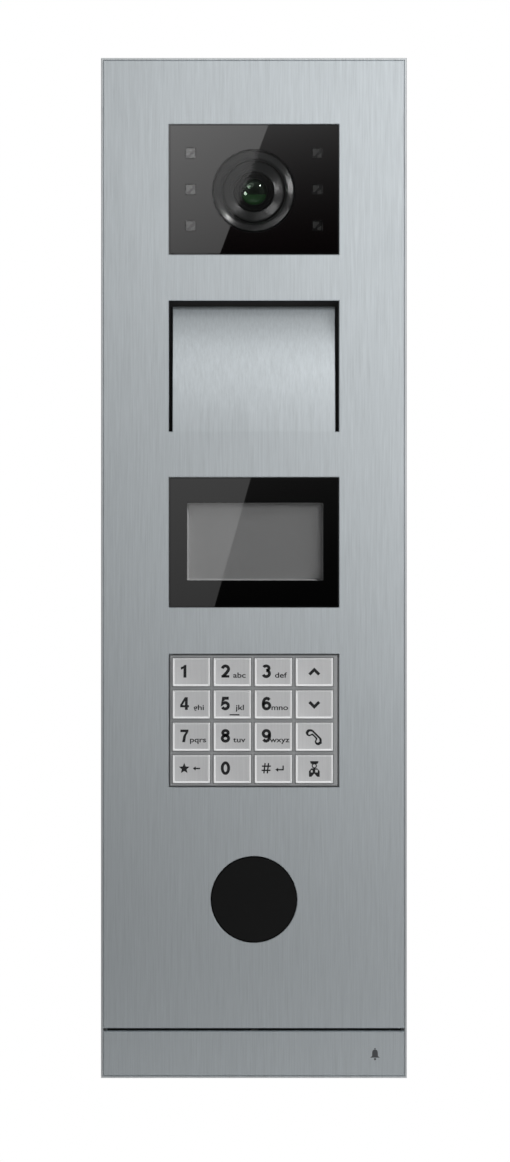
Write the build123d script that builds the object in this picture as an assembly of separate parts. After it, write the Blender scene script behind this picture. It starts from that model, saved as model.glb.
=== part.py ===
from build123d import *
import os
from math import asin, cos, sin, sqrt

# Flush-mounted door intercom panel, in millimetres.
# X runs to the right, Y into the wall and Z up. The wall's surface is y = 0 and the
# panel's front faces -Y. The origin is the middle of the panel on the wall's surface.

# Panel and sheet metal
PANEL_W = 125.0
PANEL_H = 417.0
FRONT = -16.0
SHEET = 2.0
PLATE_BACK = FRONT + SHEET
RIM = 0.9
RIM_EDGE = 0.25
INNER_W = PANEL_W - 2 * RIM
INNER_H = PANEL_H - 2 * RIM
PLATE_GAP = 0.05
PLATE_W = INNER_W - 2 * PLATE_GAP
PLATE_TOP = INNER_H / 2 - PLATE_GAP
PLATE_FOOT = -188.1
PLATE_EDGE = 0.3
STRIP_TOP = PLATE_FOOT - 1.0
STRIP_FOOT = -PLATE_TOP
STRIP_LIP = 0.7

# Heights of the five modules' centres, top to bottom
CAMERA_Z = 154.8
AUDIO_Z = 82.55
DISPLAY_Z = 10.5
KEYPAD_Z = -62.35
READER_Z = -135.5
MODULES = (CAMERA_Z, AUDIO_Z, DISPLAY_Z, KEYPAD_Z, READER_Z)

# Cut-outs in the front plate
CUT_W = 69.5
CUT_H = 53.2
KEYPAD_CUT_H = 54.4
READER_CUT_R = 17.7
SCOOP_TOP = 109.3
SCOOP_FOOT = 55.8
SLIT = 1.45
TOP_SLOT = 2.3
TONGUE_SET = 8.0
TONGUE_EDGE = 0.25

# Rim flange, wall seal and back box
RIM_FLANGE_FRONT = -4.5
RIM_FLANGE_BACK = -3.5
RIM_OPENING_W = 113.0
RIM_OPENING_H = 405.0
LIP = 1.5
SEAL_W = 120.5
SEAL_H = 412.5
SEAL_RIB = 3.25
BOX_W = 111.0
BOX_H = 403.0
BOX_DEPTH = 44.0
BOX_WALL = 2.0
BOX_CORNER = 4.0
BOX_LIP_W = 121.0
BOX_LIP_H = 413.0
FIXING_X = 40.0
FIXING_Z = 170.0
FIXING_R = 2.25
KNOCKOUT_R = (8.0, 11.0)
KNOCKOUT_GROOVE = 0.8
KNOCKOUT_DEPTH = 0.7
KNOCKOUT_REAR_Z = (-110.0, 0.0, 110.0)
KNOCKOUT_SIDE_Z = (-120.0, -40.0, 40.0, 120.0)
BOX_RIB_Z = (-160.0, -80.0, 0.0, 80.0, 160.0)
BOX_EDGE = 1.0
LUG_REACH = 4.5
CABLE_X = 25.0
CABLE_Y = 24.0
CABLE_R = 4.0
GROMMET_R = 8.0
GROMMET_FLANGE_R = 10.0
GROMMET_FLANGE = 1.5

# Chassis behind the front plate
CHASSIS_FRONT = -10.0
CHASSIS_BACK = -7.5
CHASSIS_W = 120.0
CHASSIS_H = 411.0
BAY_W = 79.6
BAY_H = 63.6
STUD_X = 54.0
STUD_Z = (195.0, 118.7, 46.5, -25.8, -98.8, -178.0)
STUD_R = 1.5
STUD_END = -4.9
PAD_X = 58.25
PAD_Z = (-150.0, -75.0, 0.0, 75.0, 150.0)
GUIDE_X = 30.0
GUIDE_Z = 196.5
GUIDE_R = 3.0
GUIDE_CLEARANCE = 0.05
GUIDE_END = 14.0
CLIP_X = 35.0
CLIP_Z = -198.3

# Captive lock screw behind the end strip
LOCK_Z = -193.2
LOCK_SHANK_R = 1.9
LOCK_BORE_R = 2.0
LOCK_HEAD_R = 3.8
LOCK_CUP_R = 4.6
LOCK_CUP_WALL = 1.2
LOCK_SEAT = -1.2
INSERT_FRONT = 4.0
INSERT_BACK = 13.0
INSERT_R = 3.2

# Panes and module housings
PANE_W = 68.7
PANE_H = 52.4
PANE_FRONT = -15.8
PANE_BACK = -12.0
PANE_EDGE = 0.25
FLANGE_FRONT = -13.2
FLANGE_W = 78.0
FLANGE_H = 62.0
READER_R = 17.35
HOUSING_W = 79.0
HOUSING_H = 63.0
HOUSING_WALL = 1.6
EAR_X = 43.5
EAR_Z = 20.0
EAR_W = 9.0
EAR_H = 8.0
EAR_BACK = -5.5
SCREW_R = 1.5
BOARD_W = 74.0
BOARD_H = 58.0
BOARD = 1.6
POST_X = 34.0
POST_Z = 26.0
POST_R = 2.4

# Depths at which the housings end
CAMERA_BACK = 13.0
AUDIO_BACK = 22.0
DISPLAY_BACK = 6.0
KEYPAD_BACK = 4.0
READER_BACK = 4.0

# Camera on two crossed pivots
CAMERA_BOARD_FRONT = -10.2
LENS_Z = CAMERA_Z - 0.7
PIVOT_Y = -2.0
BALL_R = 14.0
BALL_FRONT = -8.5
BALL_REAR = 5.0
BORE_R = 8.2
YOKE_IN = 14.5
YOKE_OUT = 17.3
YOKE_HALF = 1.5
TRUNNION_R = 0.9
YOKE_PIN_R = 1.2
PIVOT_CLEARANCE = 0.05
LUG_FACE = 18.0
LUG_END = 22.5
LED_X = 25.9
LED_Z = 14.85
LED_SIZE = 3.6

# Loudspeaker and microphone
SPEAKER_R = 25.0
SPEAKER_HOLE_R = 19.5
BAFFLE_FRONT = -3.0
BAFFLE_BACK = -1.5
MIC_X = 27.0
MIC_Z = AUDIO_Z - 20.0
MAIN_BOARD_Y = 13.5
TERMINAL_X = -5.0
TERMINAL_Z = AUDIO_Z - 12.0
TERMINAL_WAYS = 8
TERMINAL_PITCH = 5.08

# Display
LCD_W = 62.0
LCD_H = 40.0
LCD_X = 0.5
LCD_FRONT = -11.0
LCD_BACK = -9.4

# Keypad: four columns by four rows
KEY_W = 15.3
KEY_H = 11.6
KEY_PITCH_X = 16.76
KEY_MIDDLE_X = -0.45
KEY_PITCH_Z = 13.2
KEY_FRONT = -16.4
KEY_EDGE = 0.5
KEY_HOLE_GAP = 0.2
KEY_REST = PANE_BACK
KEY_FLANGE = 0.8
KEY_STEM_R = 2.0
KEY_STEM_END = -9.7
BEZEL_FRONT = -15.4
BEZEL_GAP = 0.6
MAT_FRONT = -8.5
MAT_BACK = -7.5
MAT_COLLAR_TOP = -10.1
KEY_NAMES = (
    ("key_1", "key_2", "key_3", "key_up"),
    ("key_4", "key_5", "key_6", "key_down"),
    ("key_7", "key_8", "key_9", "key_call"),
    ("key_star", "key_0", "key_hash", "key_guard"),
)

# Flat leads between the housings
LEAD_W = 10.0
LEAD = 1.2
LEAD_X = 24.0
LEAD_BEND = 3.0
LEAD_RUN = 1.0
LEAD_END = 22.0
PLUG_W = 12.0
PLUG_H = 4.0
PLUG_DEPTH = 3.0


def front_plane(x, y, z):
    """Drawing plane seen from the front: its X is X and its Y is Z."""
    return Plane(origin=(x, y, z), x_dir=(1, 0, 0), z_dir=(0, -1, 0))


def prism(outline, front, back, x=0.0, z=0.0):
    """Solid of an outline in X and Z, from one depth to another."""
    return extrude(front_plane(x, back, z) * outline, amount=back - front)


def slab(width, height, front, back, x=0.0, z=0.0):
    """Rectangular block, square to the panel."""
    return prism(Rectangle(width, height), front, back, x, z)


def rounded(width, height, corner, front, back, x=0.0, z=0.0):
    """Block with rounded corners."""
    return prism(RectangleRounded(width, height, corner), front, back, x, z)


def rod(radius, front, back, x=0.0, z=0.0):
    """Cylinder along Y."""
    return prism(Circle(radius), front, back, x, z)


def tube(outer, inner, front, back, x=0.0, z=0.0):
    """Ring along Y."""
    return prism(Circle(outer) - Circle(inner), front, back, x, z)


def bar_x(radius, start, end, y, z):
    """Cylinder along X."""
    return extrude(Plane(origin=(start, y, z), z_dir=(1, 0, 0)) * Circle(radius), amount=end - start)


def bar_z(radius, start, end, x, y):
    """Cylinder along Z."""
    return extrude(Plane(origin=(x, y, start)) * Circle(radius), amount=end - start)


def turned(points, x=0.0, z=0.0):
    """Solid of revolution about a line along Y, from (radius, depth) points."""
    profile = Plane(origin=(x, 0, z)) * make_face(Polyline(*points, close=True))
    return revolve(profile, Axis((x, 0, z), (0, 1, 0)))


def break_front_edges(solid, size):
    """Chamfer every edge of the face nearest the viewer."""
    return chamfer(solid.faces().sort_by(Axis.Y)[0].edges(), size)


def both_sides(distance):
    """The two mirrored places at one distance."""
    return (-distance, distance)


def stud_places():
    """Places of the studs on the front plate."""
    return [(x, z) for z in STUD_Z for x in both_sides(STUD_X)]


def ear_places(z):
    """Places of the four ears of the housing at one height."""
    return [(x, z + dz) for x in both_sides(EAR_X) for dz in both_sides(EAR_Z)]


def key_places():
    """Name, x and z of each key, row by row."""
    places = []
    for row, names in enumerate(KEY_NAMES):
        for column, name in enumerate(names):
            x = KEY_MIDDLE_X + (column - 1.5) * KEY_PITCH_X
            z = KEYPAD_Z + (1.5 - row) * KEY_PITCH_Z
            places.append((name, x, z))
    return places


def knockout(plane):
    """Two ring grooves round a disc that is pushed out for a conduit."""
    rings = Sketch()
    for radius in KNOCKOUT_R:
        rings += Circle(radius) - Circle(radius - KNOCKOUT_GROOVE)
    return extrude(plane * rings, amount=-KNOCKOUT_DEPTH)


def box_knockouts():
    """Grooves of every knock-out, in the outer faces of the box."""
    grooves = Part()
    for z in KNOCKOUT_REAR_Z:
        grooves += knockout(Plane(origin=(0, BOX_DEPTH, z), z_dir=(0, 1, 0)))
    for side in both_sides(1):
        for z in KNOCKOUT_SIDE_Z:
            grooves += knockout(Plane(origin=(side * BOX_W / 2, CABLE_Y, z), z_dir=(side, 0, 0)))
        grooves += knockout(Plane(origin=(side * CABLE_X, CABLE_Y, BOX_H / 2), z_dir=(0, 0, 1)))
    return grooves


def box_ribs():
    """Stiffening ribs and plaster lugs on the outside of the box."""
    ribs = Part()
    for side in both_sides(1):
        for z in BOX_RIB_Z:
            ribs += slab(3, 2, 4, 38, x=side * (BOX_W / 2 + 0.5), z=z)
        for z in (-BOX_RIB_Z[1] + 20, BOX_RIB_Z[1] - 20):
            ribs += slab(LUG_REACH, 14, 6, 8, x=side * (BOX_W / 2 + LUG_REACH / 2 - 0.5), z=z)
    return ribs


def back_box():
    """Plastic box that is built into the wall."""
    box = rounded(BOX_W, BOX_H, BOX_CORNER, 0, BOX_DEPTH)
    box = chamfer(box.faces().sort_by(Axis.Y)[-1].edges(), BOX_EDGE)
    box += rounded(BOX_LIP_W, BOX_LIP_H, BOX_CORNER, -LIP, 0)
    inside_w = BOX_W - 2 * BOX_WALL
    inside_h = BOX_H - 2 * BOX_WALL
    box -= rounded(inside_w, inside_h, BOX_CORNER - BOX_WALL, -LIP, BOX_DEPTH - BOX_WALL)
    box += box_ribs()
    box -= box_knockouts()
    for x in both_sides(GUIDE_X):
        box += rod(5, 2, 12, x, GUIDE_Z)
        box -= rod(GUIDE_R + GUIDE_CLEARANCE, 2, 12, x, GUIDE_Z)
    wall_z = -BOX_H / 2 + BOX_WALL / 2
    box += slab(5, LOCK_Z - wall_z, INSERT_FRONT, BOX_DEPTH - BOX_WALL / 2, z=(LOCK_Z + wall_z) / 2)
    box += rod(5.4, INSERT_FRONT, INSERT_BACK, z=LOCK_Z)
    box -= rod(INSERT_R, INSERT_FRONT, INSERT_BACK, z=LOCK_Z)
    for x in both_sides(FIXING_X):
        for z in both_sides(FIXING_Z):
            box += rod(6, BOX_DEPTH - BOX_WALL - 1.5, BOX_DEPTH - BOX_WALL / 2, x, z)
            box -= rod(FIXING_R, 0, BOX_DEPTH, x, z)
    for x in both_sides(CABLE_X):
        box -= bar_z(GROMMET_R, -BOX_H / 2 - 1, -BOX_H / 2 + BOX_WALL + 1, x, CABLE_Y)
    return box


def cable_grommets():
    """Two rubber grommets in the floor of the box."""
    floor = -BOX_H / 2
    grommets = Part()
    for x in both_sides(CABLE_X):
        grommet = bar_z(GROMMET_R, floor, floor + BOX_WALL, x, CABLE_Y)
        grommet += bar_z(GROMMET_FLANGE_R, floor - GROMMET_FLANGE, floor, x, CABLE_Y)
        top = floor + BOX_WALL
        grommet += bar_z(GROMMET_FLANGE_R, top, top + GROMMET_FLANGE, x, CABLE_Y)
        grommet -= bar_z(CABLE_R, floor - GROMMET_FLANGE, top + GROMMET_FLANGE, x, CABLE_Y)
        grommets += grommet
    return grommets


def lock_insert():
    """Brass insert that takes the lock screw."""
    return tube(INSERT_R, LOCK_BORE_R, INSERT_FRONT, INSERT_BACK, z=LOCK_Z)


def cover_frame():
    """Thin rim round the panel, with an inner flange on the wall seal."""
    rim = slab(PANEL_W, PANEL_H, FRONT, 0) - slab(INNER_W, INNER_H, FRONT, 0)
    rim = break_front_edges(rim, RIM_EDGE)
    flange = slab(INNER_W, INNER_H, RIM_FLANGE_FRONT, RIM_FLANGE_BACK)
    flange -= slab(RIM_OPENING_W, RIM_OPENING_H, RIM_FLANGE_FRONT, RIM_FLANGE_BACK)
    return rim + flange


def wall_gasket():
    """Foam seal between the rim's flange and the lip of the box."""
    seal = rounded(SEAL_W, SEAL_H, BOX_CORNER, RIM_FLANGE_BACK, -LIP)
    hole_w = SEAL_W - 2 * SEAL_RIB
    hole_h = SEAL_H - 2 * SEAL_RIB
    return seal - rounded(hole_w, hole_h, BOX_CORNER - SEAL_RIB + 1, RIM_FLANGE_BACK, -LIP)


def tongue():
    """Pressed tongue: one arc leads from flush at the foot to set back at the top."""
    top = SCOOP_TOP - TOP_SLOT
    height = top - SCOOP_FOOT
    radius = (height**2 + TONGUE_SET**2) / (2 * TONGUE_SET)
    half_turn = asin(height / radius) / 2
    bulge = radius * (1 - cos(half_turn))
    rise = radius * sin(half_turn)
    edges = []
    for y in (FRONT, PLATE_BACK):
        foot = (y, SCOOP_FOOT)
        middle = (y + bulge, SCOOP_FOOT + rise)
        edges.append(ThreePointArc(foot, middle, (y + TONGUE_SET, top)))
    edges.append(Line((FRONT, SCOOP_FOOT), (PLATE_BACK, SCOOP_FOOT)))
    edges.append(Line((FRONT + TONGUE_SET, top), (PLATE_BACK + TONGUE_SET, top)))
    profile = Plane.YZ * make_face(edges)
    pressed = extrude(profile, amount=CUT_W / 2 - SLIT, both=True)
    return chamfer(pressed.edges().filter_by(GeomType.CIRCLE), TONGUE_EDGE)


def front_plate():
    """Stainless plate with its windows, its pressed tongue and its welded studs."""
    height = PLATE_TOP - PLATE_FOOT
    plate = slab(PLATE_W, height, FRONT, PLATE_BACK, z=(PLATE_TOP + PLATE_FOOT) / 2)
    plate -= slab(CUT_W, CUT_H, FRONT, PLATE_BACK, z=CAMERA_Z)
    plate -= slab(CUT_W, CUT_H, FRONT, PLATE_BACK, z=DISPLAY_Z)
    plate -= slab(CUT_W, KEYPAD_CUT_H, FRONT, PLATE_BACK, z=KEYPAD_Z)
    plate -= rod(READER_CUT_R, FRONT, PLATE_BACK, z=READER_Z)
    tongue_top = SCOOP_TOP - TOP_SLOT
    tongue_w = CUT_W - 2 * SLIT
    tongue_h = tongue_top - SCOOP_FOOT
    tongue_z = (tongue_top + SCOOP_FOOT) / 2
    scoop = slab(CUT_W, SCOOP_TOP - SCOOP_FOOT, FRONT, PLATE_BACK, z=(SCOOP_TOP + SCOOP_FOOT) / 2)
    plate -= scoop - slab(tongue_w, tongue_h, FRONT, PLATE_BACK, z=tongue_z)
    plate = break_front_edges(plate, PLATE_EDGE)
    plate -= slab(tongue_w, tongue_h, FRONT, PLATE_BACK, z=tongue_z)
    plate += tongue()
    for x, z in stud_places():
        plate += rod(STUD_R, PLATE_BACK, STUD_END, x, z)
    return plate


def chassis():
    """Steel frame that carries the modules."""
    frame = rounded(CHASSIS_W, CHASSIS_H, 2, CHASSIS_FRONT, CHASSIS_BACK)
    for z in MODULES:
        frame -= slab(BAY_W, BAY_H, CHASSIS_FRONT, CHASSIS_BACK, z=z)
        for x, ear_z in ear_places(z):
            frame -= rod(SCREW_R + 0.05, CHASSIS_FRONT, CHASSIS_BACK, x, ear_z)
    for x, z in stud_places():
        frame -= rod(STUD_R + 0.2, CHASSIS_FRONT, CHASSIS_BACK, x, z)
    for x in both_sides(CLIP_X):
        frame -= slab(9.0, 6.4, CHASSIS_FRONT, CHASSIS_BACK, x, CLIP_Z)
    for x in both_sides(PAD_X):
        for z in PAD_Z:
            frame += slab(3, 24, CHASSIS_BACK, RIM_FLANGE_FRONT, x, z)
    for x in both_sides(GUIDE_X):
        pin = turned([(0, -8.5), (GUIDE_R, -8.5), (GUIDE_R, 12), (1.5, GUIDE_END), (0, GUIDE_END)], x, GUIDE_Z)
        frame += pin
    cup_r = LOCK_CUP_R + LOCK_CUP_WALL
    cup_end = LOCK_SEAT + 1.5
    frame += rod(cup_r, CHASSIS_FRONT, cup_end, z=LOCK_Z)
    frame -= rod(LOCK_CUP_R, CHASSIS_FRONT, LOCK_SEAT, z=LOCK_Z)
    frame -= rod(LOCK_SHANK_R + 0.3, LOCK_SEAT, cup_end, z=LOCK_Z)
    return frame


def chassis_nuts():
    """Hexagon nuts on the plate's studs."""
    outline = RegularPolygon(radius=3.15, side_count=6) - Circle(STUD_R + 0.05)
    nuts = Part()
    for x, z in stud_places():
        nuts += prism(outline, CHASSIS_BACK, CHASSIS_BACK + 2.3, x, z)
    return nuts


def earth_terminal():
    """Earth stud with its washer and nut on the chassis."""
    x = -45.0
    z = -181.0
    terminal = rod(2, CHASSIS_BACK, 1, x, z)
    terminal += rod(4.5, CHASSIS_BACK, CHASSIS_BACK + 0.8, x, z)
    nut = prism(RegularPolygon(radius=4.0, side_count=6), CHASSIS_BACK + 0.8, CHASSIS_BACK + 4, x, z)
    return terminal + nut


def window_pane(z):
    """Clear pane: a plug that fills the cut-out and a flange behind the plate."""
    plug = break_front_edges(slab(PANE_W, PANE_H, PANE_FRONT, PANE_BACK, z=z), PANE_EDGE)
    return plug + slab(FLANGE_W, FLANGE_H, FLANGE_FRONT, PANE_BACK, z=z)


def reader_disc():
    """Round reading surface with a flange behind the plate."""
    plug = break_front_edges(rod(READER_R, PANE_FRONT, PANE_BACK, z=READER_Z), PANE_EDGE)
    return plug + slab(FLANGE_W, FLANGE_H, FLANGE_FRONT, PANE_BACK, z=READER_Z)


def window_gaskets():
    """Flat seals between the plate and the flanges behind it."""
    gaskets = Part()
    for z in (CAMERA_Z, DISPLAY_Z, KEYPAD_Z):
        seal = slab(77, 61, PLATE_BACK, FLANGE_FRONT, z=z)
        gaskets += seal - slab(70.5, 54.8, PLATE_BACK, FLANGE_FRONT, z=z)
    seal = slab(77, 61, PLATE_BACK, FLANGE_FRONT, z=READER_Z)
    gaskets += seal - rod(18.4, PLATE_BACK, FLANGE_FRONT, z=READER_Z)
    return gaskets


def module_housing(z, front, back, board_back):
    """Moulded tray of one module: walls, ears for its screws and posts for its board."""
    inner_w = HOUSING_W - 2 * HOUSING_WALL
    inner_h = HOUSING_H - 2 * HOUSING_WALL
    tray = rounded(HOUSING_W, HOUSING_H, 2, front, back, z=z)
    tray -= rounded(inner_w, inner_h, 0.8, front, back - HOUSING_WALL, z=z)
    for x, ear_z in ear_places(z):
        tray += slab(EAR_W, EAR_H, CHASSIS_BACK, EAR_BACK, x, ear_z)
        tray -= rod(SCREW_R + 0.2, CHASSIS_BACK, EAR_BACK, x, ear_z)
    for x in both_sides(POST_X):
        for dz in both_sides(POST_Z):
            tray += rod(POST_R, board_back, back - HOUSING_WALL / 2, x, z + dz)
    return tray


def board(z, front, hole_r=0.0):
    """Printed circuit board of one module."""
    plate = slab(BOARD_W, BOARD_H, front, front + BOARD, z=z)
    if hole_r:
        plate -= rod(hole_r, front, front + BOARD, z=LENS_Z)
    return plate


def module_screws():
    """Slotted screws that hold the housings to the chassis."""
    screws = Part()
    for z in MODULES:
        for x, ear_z in ear_places(z):
            screw = rod(2.8, EAR_BACK, EAR_BACK + 1.8, x, ear_z)
            screw -= slab(4.0, 0.8, EAR_BACK + 1.0, EAR_BACK + 1.8, x, ear_z)
            screw += rod(SCREW_R, CHASSIS_FRONT + 0.5, EAR_BACK, x, ear_z)
            screws += screw
    return screws


def camera_housing():
    """Camera tray with two lugs that take the yoke's pins."""
    tray = module_housing(CAMERA_Z, PANE_BACK, CAMERA_BACK, CAMERA_BOARD_FRONT + BOARD)
    for side in both_sides(1):
        middle = LENS_Z + side * (LUG_FACE + LUG_END) / 2
        lug = slab(7, LUG_END - LUG_FACE, -4.5, CAMERA_BACK - HOUSING_WALL / 2, z=middle)
        lug -= bar_z(YOKE_PIN_R + PIVOT_CLEARANCE, middle - 3, middle + 3, 0, PIVOT_Y)
        tray += lug
    return tray


def camera_board():
    """Board that carries the infrared lamps round the camera."""
    return board(CAMERA_Z, CAMERA_BOARD_FRONT, hole_r=17.2)


def ir_leds():
    """Six infrared lamps."""
    leds = Part()
    for x in both_sides(LED_X):
        for dz in (-LED_Z, 0, LED_Z):
            leds += slab(LED_SIZE, LED_SIZE, -11.4, CAMERA_BOARD_FRONT, x, CAMERA_Z + dz)
    return leds


def camera_socket():
    """Funnel ring in front of the camera, held behind the board by its flange."""
    behind = CAMERA_BOARD_FRONT + BOARD
    return turned(
        [
            (16.0, -11.8),
            (16.9, -11.8),
            (16.9, behind),
            (19.0, behind),
            (19.0, behind + 1.2),
            (13.6, behind + 1.2),
            (12.85, -8.4),
        ],
        z=LENS_Z,
    )


def camera_yoke():
    """Ring between the housing's lugs and the camera ball."""
    ring = tube(YOKE_OUT, YOKE_IN, PIVOT_Y - YOKE_HALF, PIVOT_Y + YOKE_HALF, z=LENS_Z)
    ring -= bar_x(TRUNNION_R + PIVOT_CLEARANCE, -20, 20, PIVOT_Y, LENS_Z)
    for side in both_sides(1):
        start = LENS_Z + side * (YOKE_OUT - 0.5)
        end = LENS_Z + side * (LUG_END - 1)
        ring += bar_z(YOKE_PIN_R, min(start, end), max(start, end), 0, PIVOT_Y)
    return ring


def camera_ball():
    """Camera body: a ball cut flat front and rear, dished and bored, with two trunnions."""
    ball = Pos(0, PIVOT_Y, LENS_Z) * Sphere(BALL_R)
    ball &= slab(40, 40, BALL_FRONT, BALL_REAR, z=LENS_Z)
    for side in both_sides(1):
        start = side * (BALL_R - 1.5)
        end = side * (YOKE_OUT - 0.4)
        ball += bar_x(TRUNNION_R, min(start, end), max(start, end), PIVOT_Y, LENS_Z)
    ball -= turned(
        [(0, -9), (12.7, -9), (BORE_R, -5.8), (BORE_R, 1), (6, 1), (6, 6), (0, 6)],
        z=LENS_Z,
    )
    return ball


def lens_barrel():
    """Threaded barrel that seats in the ball's bore."""
    return turned(
        [(5.5, -6.6), (7.6, -6.6), (8.0, -6.2), (8.0, 1), (2.5, 1), (2.5, -4.6), (5.5, -4.6)],
        z=LENS_Z,
    )


def lens_glass():
    """Front lens: a disc with a domed face."""
    dome_r = 9.0
    lens_r = 5.4
    edge_y = -5.6
    centre_y = edge_y + sqrt(dome_r**2 - lens_r**2)
    dome = Pos(0, centre_y, LENS_Z) * Sphere(dome_r)
    return (dome & rod(lens_r, -8, edge_y, z=LENS_Z)) + rod(lens_r, edge_y, -4.6, z=LENS_Z)


def sensor_board():
    """Image sensor board on the rear of the ball."""
    return slab(15, 15, BALL_REAR, BALL_REAR + 1.2, z=LENS_Z)


def audio_housing():
    """Audio tray: a baffle for the loudspeaker and an opening for the terminals."""
    tray = module_housing(AUDIO_Z, PLATE_BACK, AUDIO_BACK, MAIN_BOARD_Y + BOARD)
    baffle = slab(HOUSING_W - 2, HOUSING_H - 2, BAFFLE_FRONT, BAFFLE_BACK, z=AUDIO_Z)
    baffle -= rod(SPEAKER_HOLE_R, BAFFLE_FRONT, BAFFLE_BACK, z=AUDIO_Z)
    baffle -= rod(4.4, BAFFLE_FRONT, BAFFLE_BACK, MIC_X, MIC_Z)
    tray += baffle
    width = TERMINAL_WAYS * TERMINAL_PITCH + 5
    tray -= slab(width, 13, AUDIO_BACK - HOUSING_WALL, AUDIO_BACK, TERMINAL_X, TERMINAL_Z)
    return tray


def speaker_frame():
    """Pressed basket of the loudspeaker."""
    return turned(
        [
            (SPEAKER_HOLE_R, BAFFLE_BACK),
            (SPEAKER_R, BAFFLE_BACK),
            (SPEAKER_R, -0.3),
            (21.5, -0.3),
            (13.5, 8.0),
            (13.5, 9.0),
            (6.0, 9.0),
            (6.0, 8.0),
            (12.5, 8.0),
            (SPEAKER_HOLE_R, 0.6),
        ],
        z=AUDIO_Z,
    )


def speaker_cone():
    """Cone with its flat surround and its voice coil."""
    cone = turned(
        [
            (0, 4.3),
            (5.2, 4.3),
            (16.2, -1.2),
            (SPEAKER_HOLE_R, -1.2),
            (SPEAKER_HOLE_R, -0.7),
            (16.5, -0.7),
            (5.5, 4.9),
            (0, 4.9),
        ],
        z=AUDIO_Z,
    )
    return cone + tube(5.4, 4.9, 4.8, 8.4, z=AUDIO_Z)


def speaker_magnet():
    """Ring magnet with its back plate."""
    return turned([(0, 9), (12, 9), (12.5, 9.5), (12.5, 12.7), (12, 13.2), (0, 13.2)], z=AUDIO_Z)


def microphone():
    """Microphone capsule."""
    return rod(2.97, -3.8, 0.3, MIC_X, MIC_Z)


def microphone_boot():
    """Rubber boot that holds the capsule in the baffle."""
    boot = rod(4.4, -4.2, 0.8, MIC_X, MIC_Z)
    boot += rod(5.6, -4.2, BAFFLE_FRONT, MIC_X, MIC_Z)
    boot -= rod(3.0, -4.2, 0.3, MIC_X, MIC_Z)
    boot -= rod(1.2, 0.3, 0.8, MIC_X, MIC_Z)
    return boot


def main_board():
    """Controller board behind the loudspeaker."""
    return board(AUDIO_Z, MAIN_BOARD_Y)


def terminal_block():
    """Push-in terminals for the bus and the door opener."""
    front = MAIN_BOARD_Y + BOARD
    width = TERMINAL_WAYS * TERMINAL_PITCH + 2
    block = slab(width, 10, front, 25, TERMINAL_X, TERMINAL_Z)
    for way in range(TERMINAL_WAYS):
        x = TERMINAL_X + (way - (TERMINAL_WAYS - 1) / 2) * TERMINAL_PITCH
        block -= rod(1.4, 19, 25, x, TERMINAL_Z - 2.2)
        block -= slab(2.0, 2.4, 23, 25, x, TERMINAL_Z + 2.2)
    return block


def lcd_panel():
    """Liquid crystal display behind its pane."""
    return slab(LCD_W, LCD_H, LCD_FRONT, LCD_BACK, LCD_X, DISPLAY_Z)


def keypad_bezel():
    """Grid that guides the keys, with its flange behind the plate."""
    width = CUT_W - 2 * BEZEL_GAP
    height = KEYPAD_CUT_H - 2 * BEZEL_GAP
    grid = slab(width, height, BEZEL_FRONT, KEY_REST, z=KEYPAD_Z)
    grid += slab(FLANGE_W, FLANGE_H, FLANGE_FRONT, KEY_REST, z=KEYPAD_Z)
    for _, x, z in key_places():
        hole_w = KEY_W + 2 * KEY_HOLE_GAP
        hole_h = KEY_H + 2 * KEY_HOLE_GAP
        grid -= slab(hole_w, hole_h, BEZEL_FRONT, KEY_REST, x, z)
    return grid


def key(x, z):
    """One push key: its cap, its retaining flange and its stem."""
    cap = break_front_edges(slab(KEY_W, KEY_H, KEY_FRONT, KEY_REST, x, z), KEY_EDGE)
    cap += slab(KEY_W + 0.9, KEY_H + 0.8, KEY_REST, KEY_REST + KEY_FLANGE, x, z)
    return cap + rod(KEY_STEM_R, KEY_REST + KEY_FLANGE, KEY_STEM_END, x, z)


def keypad_mat():
    """Silicone mat with a sprung collar under each key."""
    mat = slab(70, 54, MAT_FRONT, MAT_BACK, z=KEYPAD_Z)
    for _, x, z in key_places():
        mat += tube(4.5, 2.4, MAT_COLLAR_TOP, MAT_FRONT, x, z)
    return mat


def keypad_board():
    """Contact board behind the mat."""
    return board(KEYPAD_Z, MAT_BACK)


def link_leads():
    """Flat leads that join each housing to the one below it."""
    backs = (CAMERA_BACK, AUDIO_BACK, DISPLAY_BACK, KEYPAD_BACK, READER_BACK)
    leads = Part()
    for index in range(len(MODULES) - 1):
        x = LEAD_X if index % 2 else -LEAD_X
        upper = (backs[index], MODULES[index] - LEAD_END)
        lower = (backs[index + 1], MODULES[index + 1] + LEAD_END)
        out = max(upper[0], lower[0]) + PLUG_DEPTH + LEAD_BEND + LEAD_RUN
        route = Plane.YZ.offset(x) * FilletPolyline(
            (upper[0] + PLUG_DEPTH, upper[1]),
            (out, upper[1]),
            (out, lower[1]),
            (lower[0] + PLUG_DEPTH, lower[1]),
            radius=LEAD_BEND,
        )
        start = Plane(origin=(x, upper[0] + PLUG_DEPTH, upper[1]), x_dir=(1, 0, 0), z_dir=(0, 1, 0))
        lead = sweep(start * Rectangle(LEAD_W, LEAD), path=route)
        for y, z in (upper, lower):
            lead += slab(PLUG_W, PLUG_H, y, y + PLUG_DEPTH, x, z)
        leads += lead
    return leads


def end_strip():
    """Narrow cover strip below the front plate."""
    middle = (STRIP_TOP + STRIP_FOOT) / 2
    strip = slab(PLATE_W, STRIP_TOP - STRIP_FOOT, FRONT, PLATE_BACK, z=middle)
    strip = chamfer(strip.faces().sort_by(Axis.Y)[0].edges().sort_by(Axis.Z)[-1], STRIP_LIP)
    others = strip.faces().sort_by(Axis.Y)[0].edges().sort_by(Axis.Z)[:-1]
    return chamfer(others, PLATE_EDGE)


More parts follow.
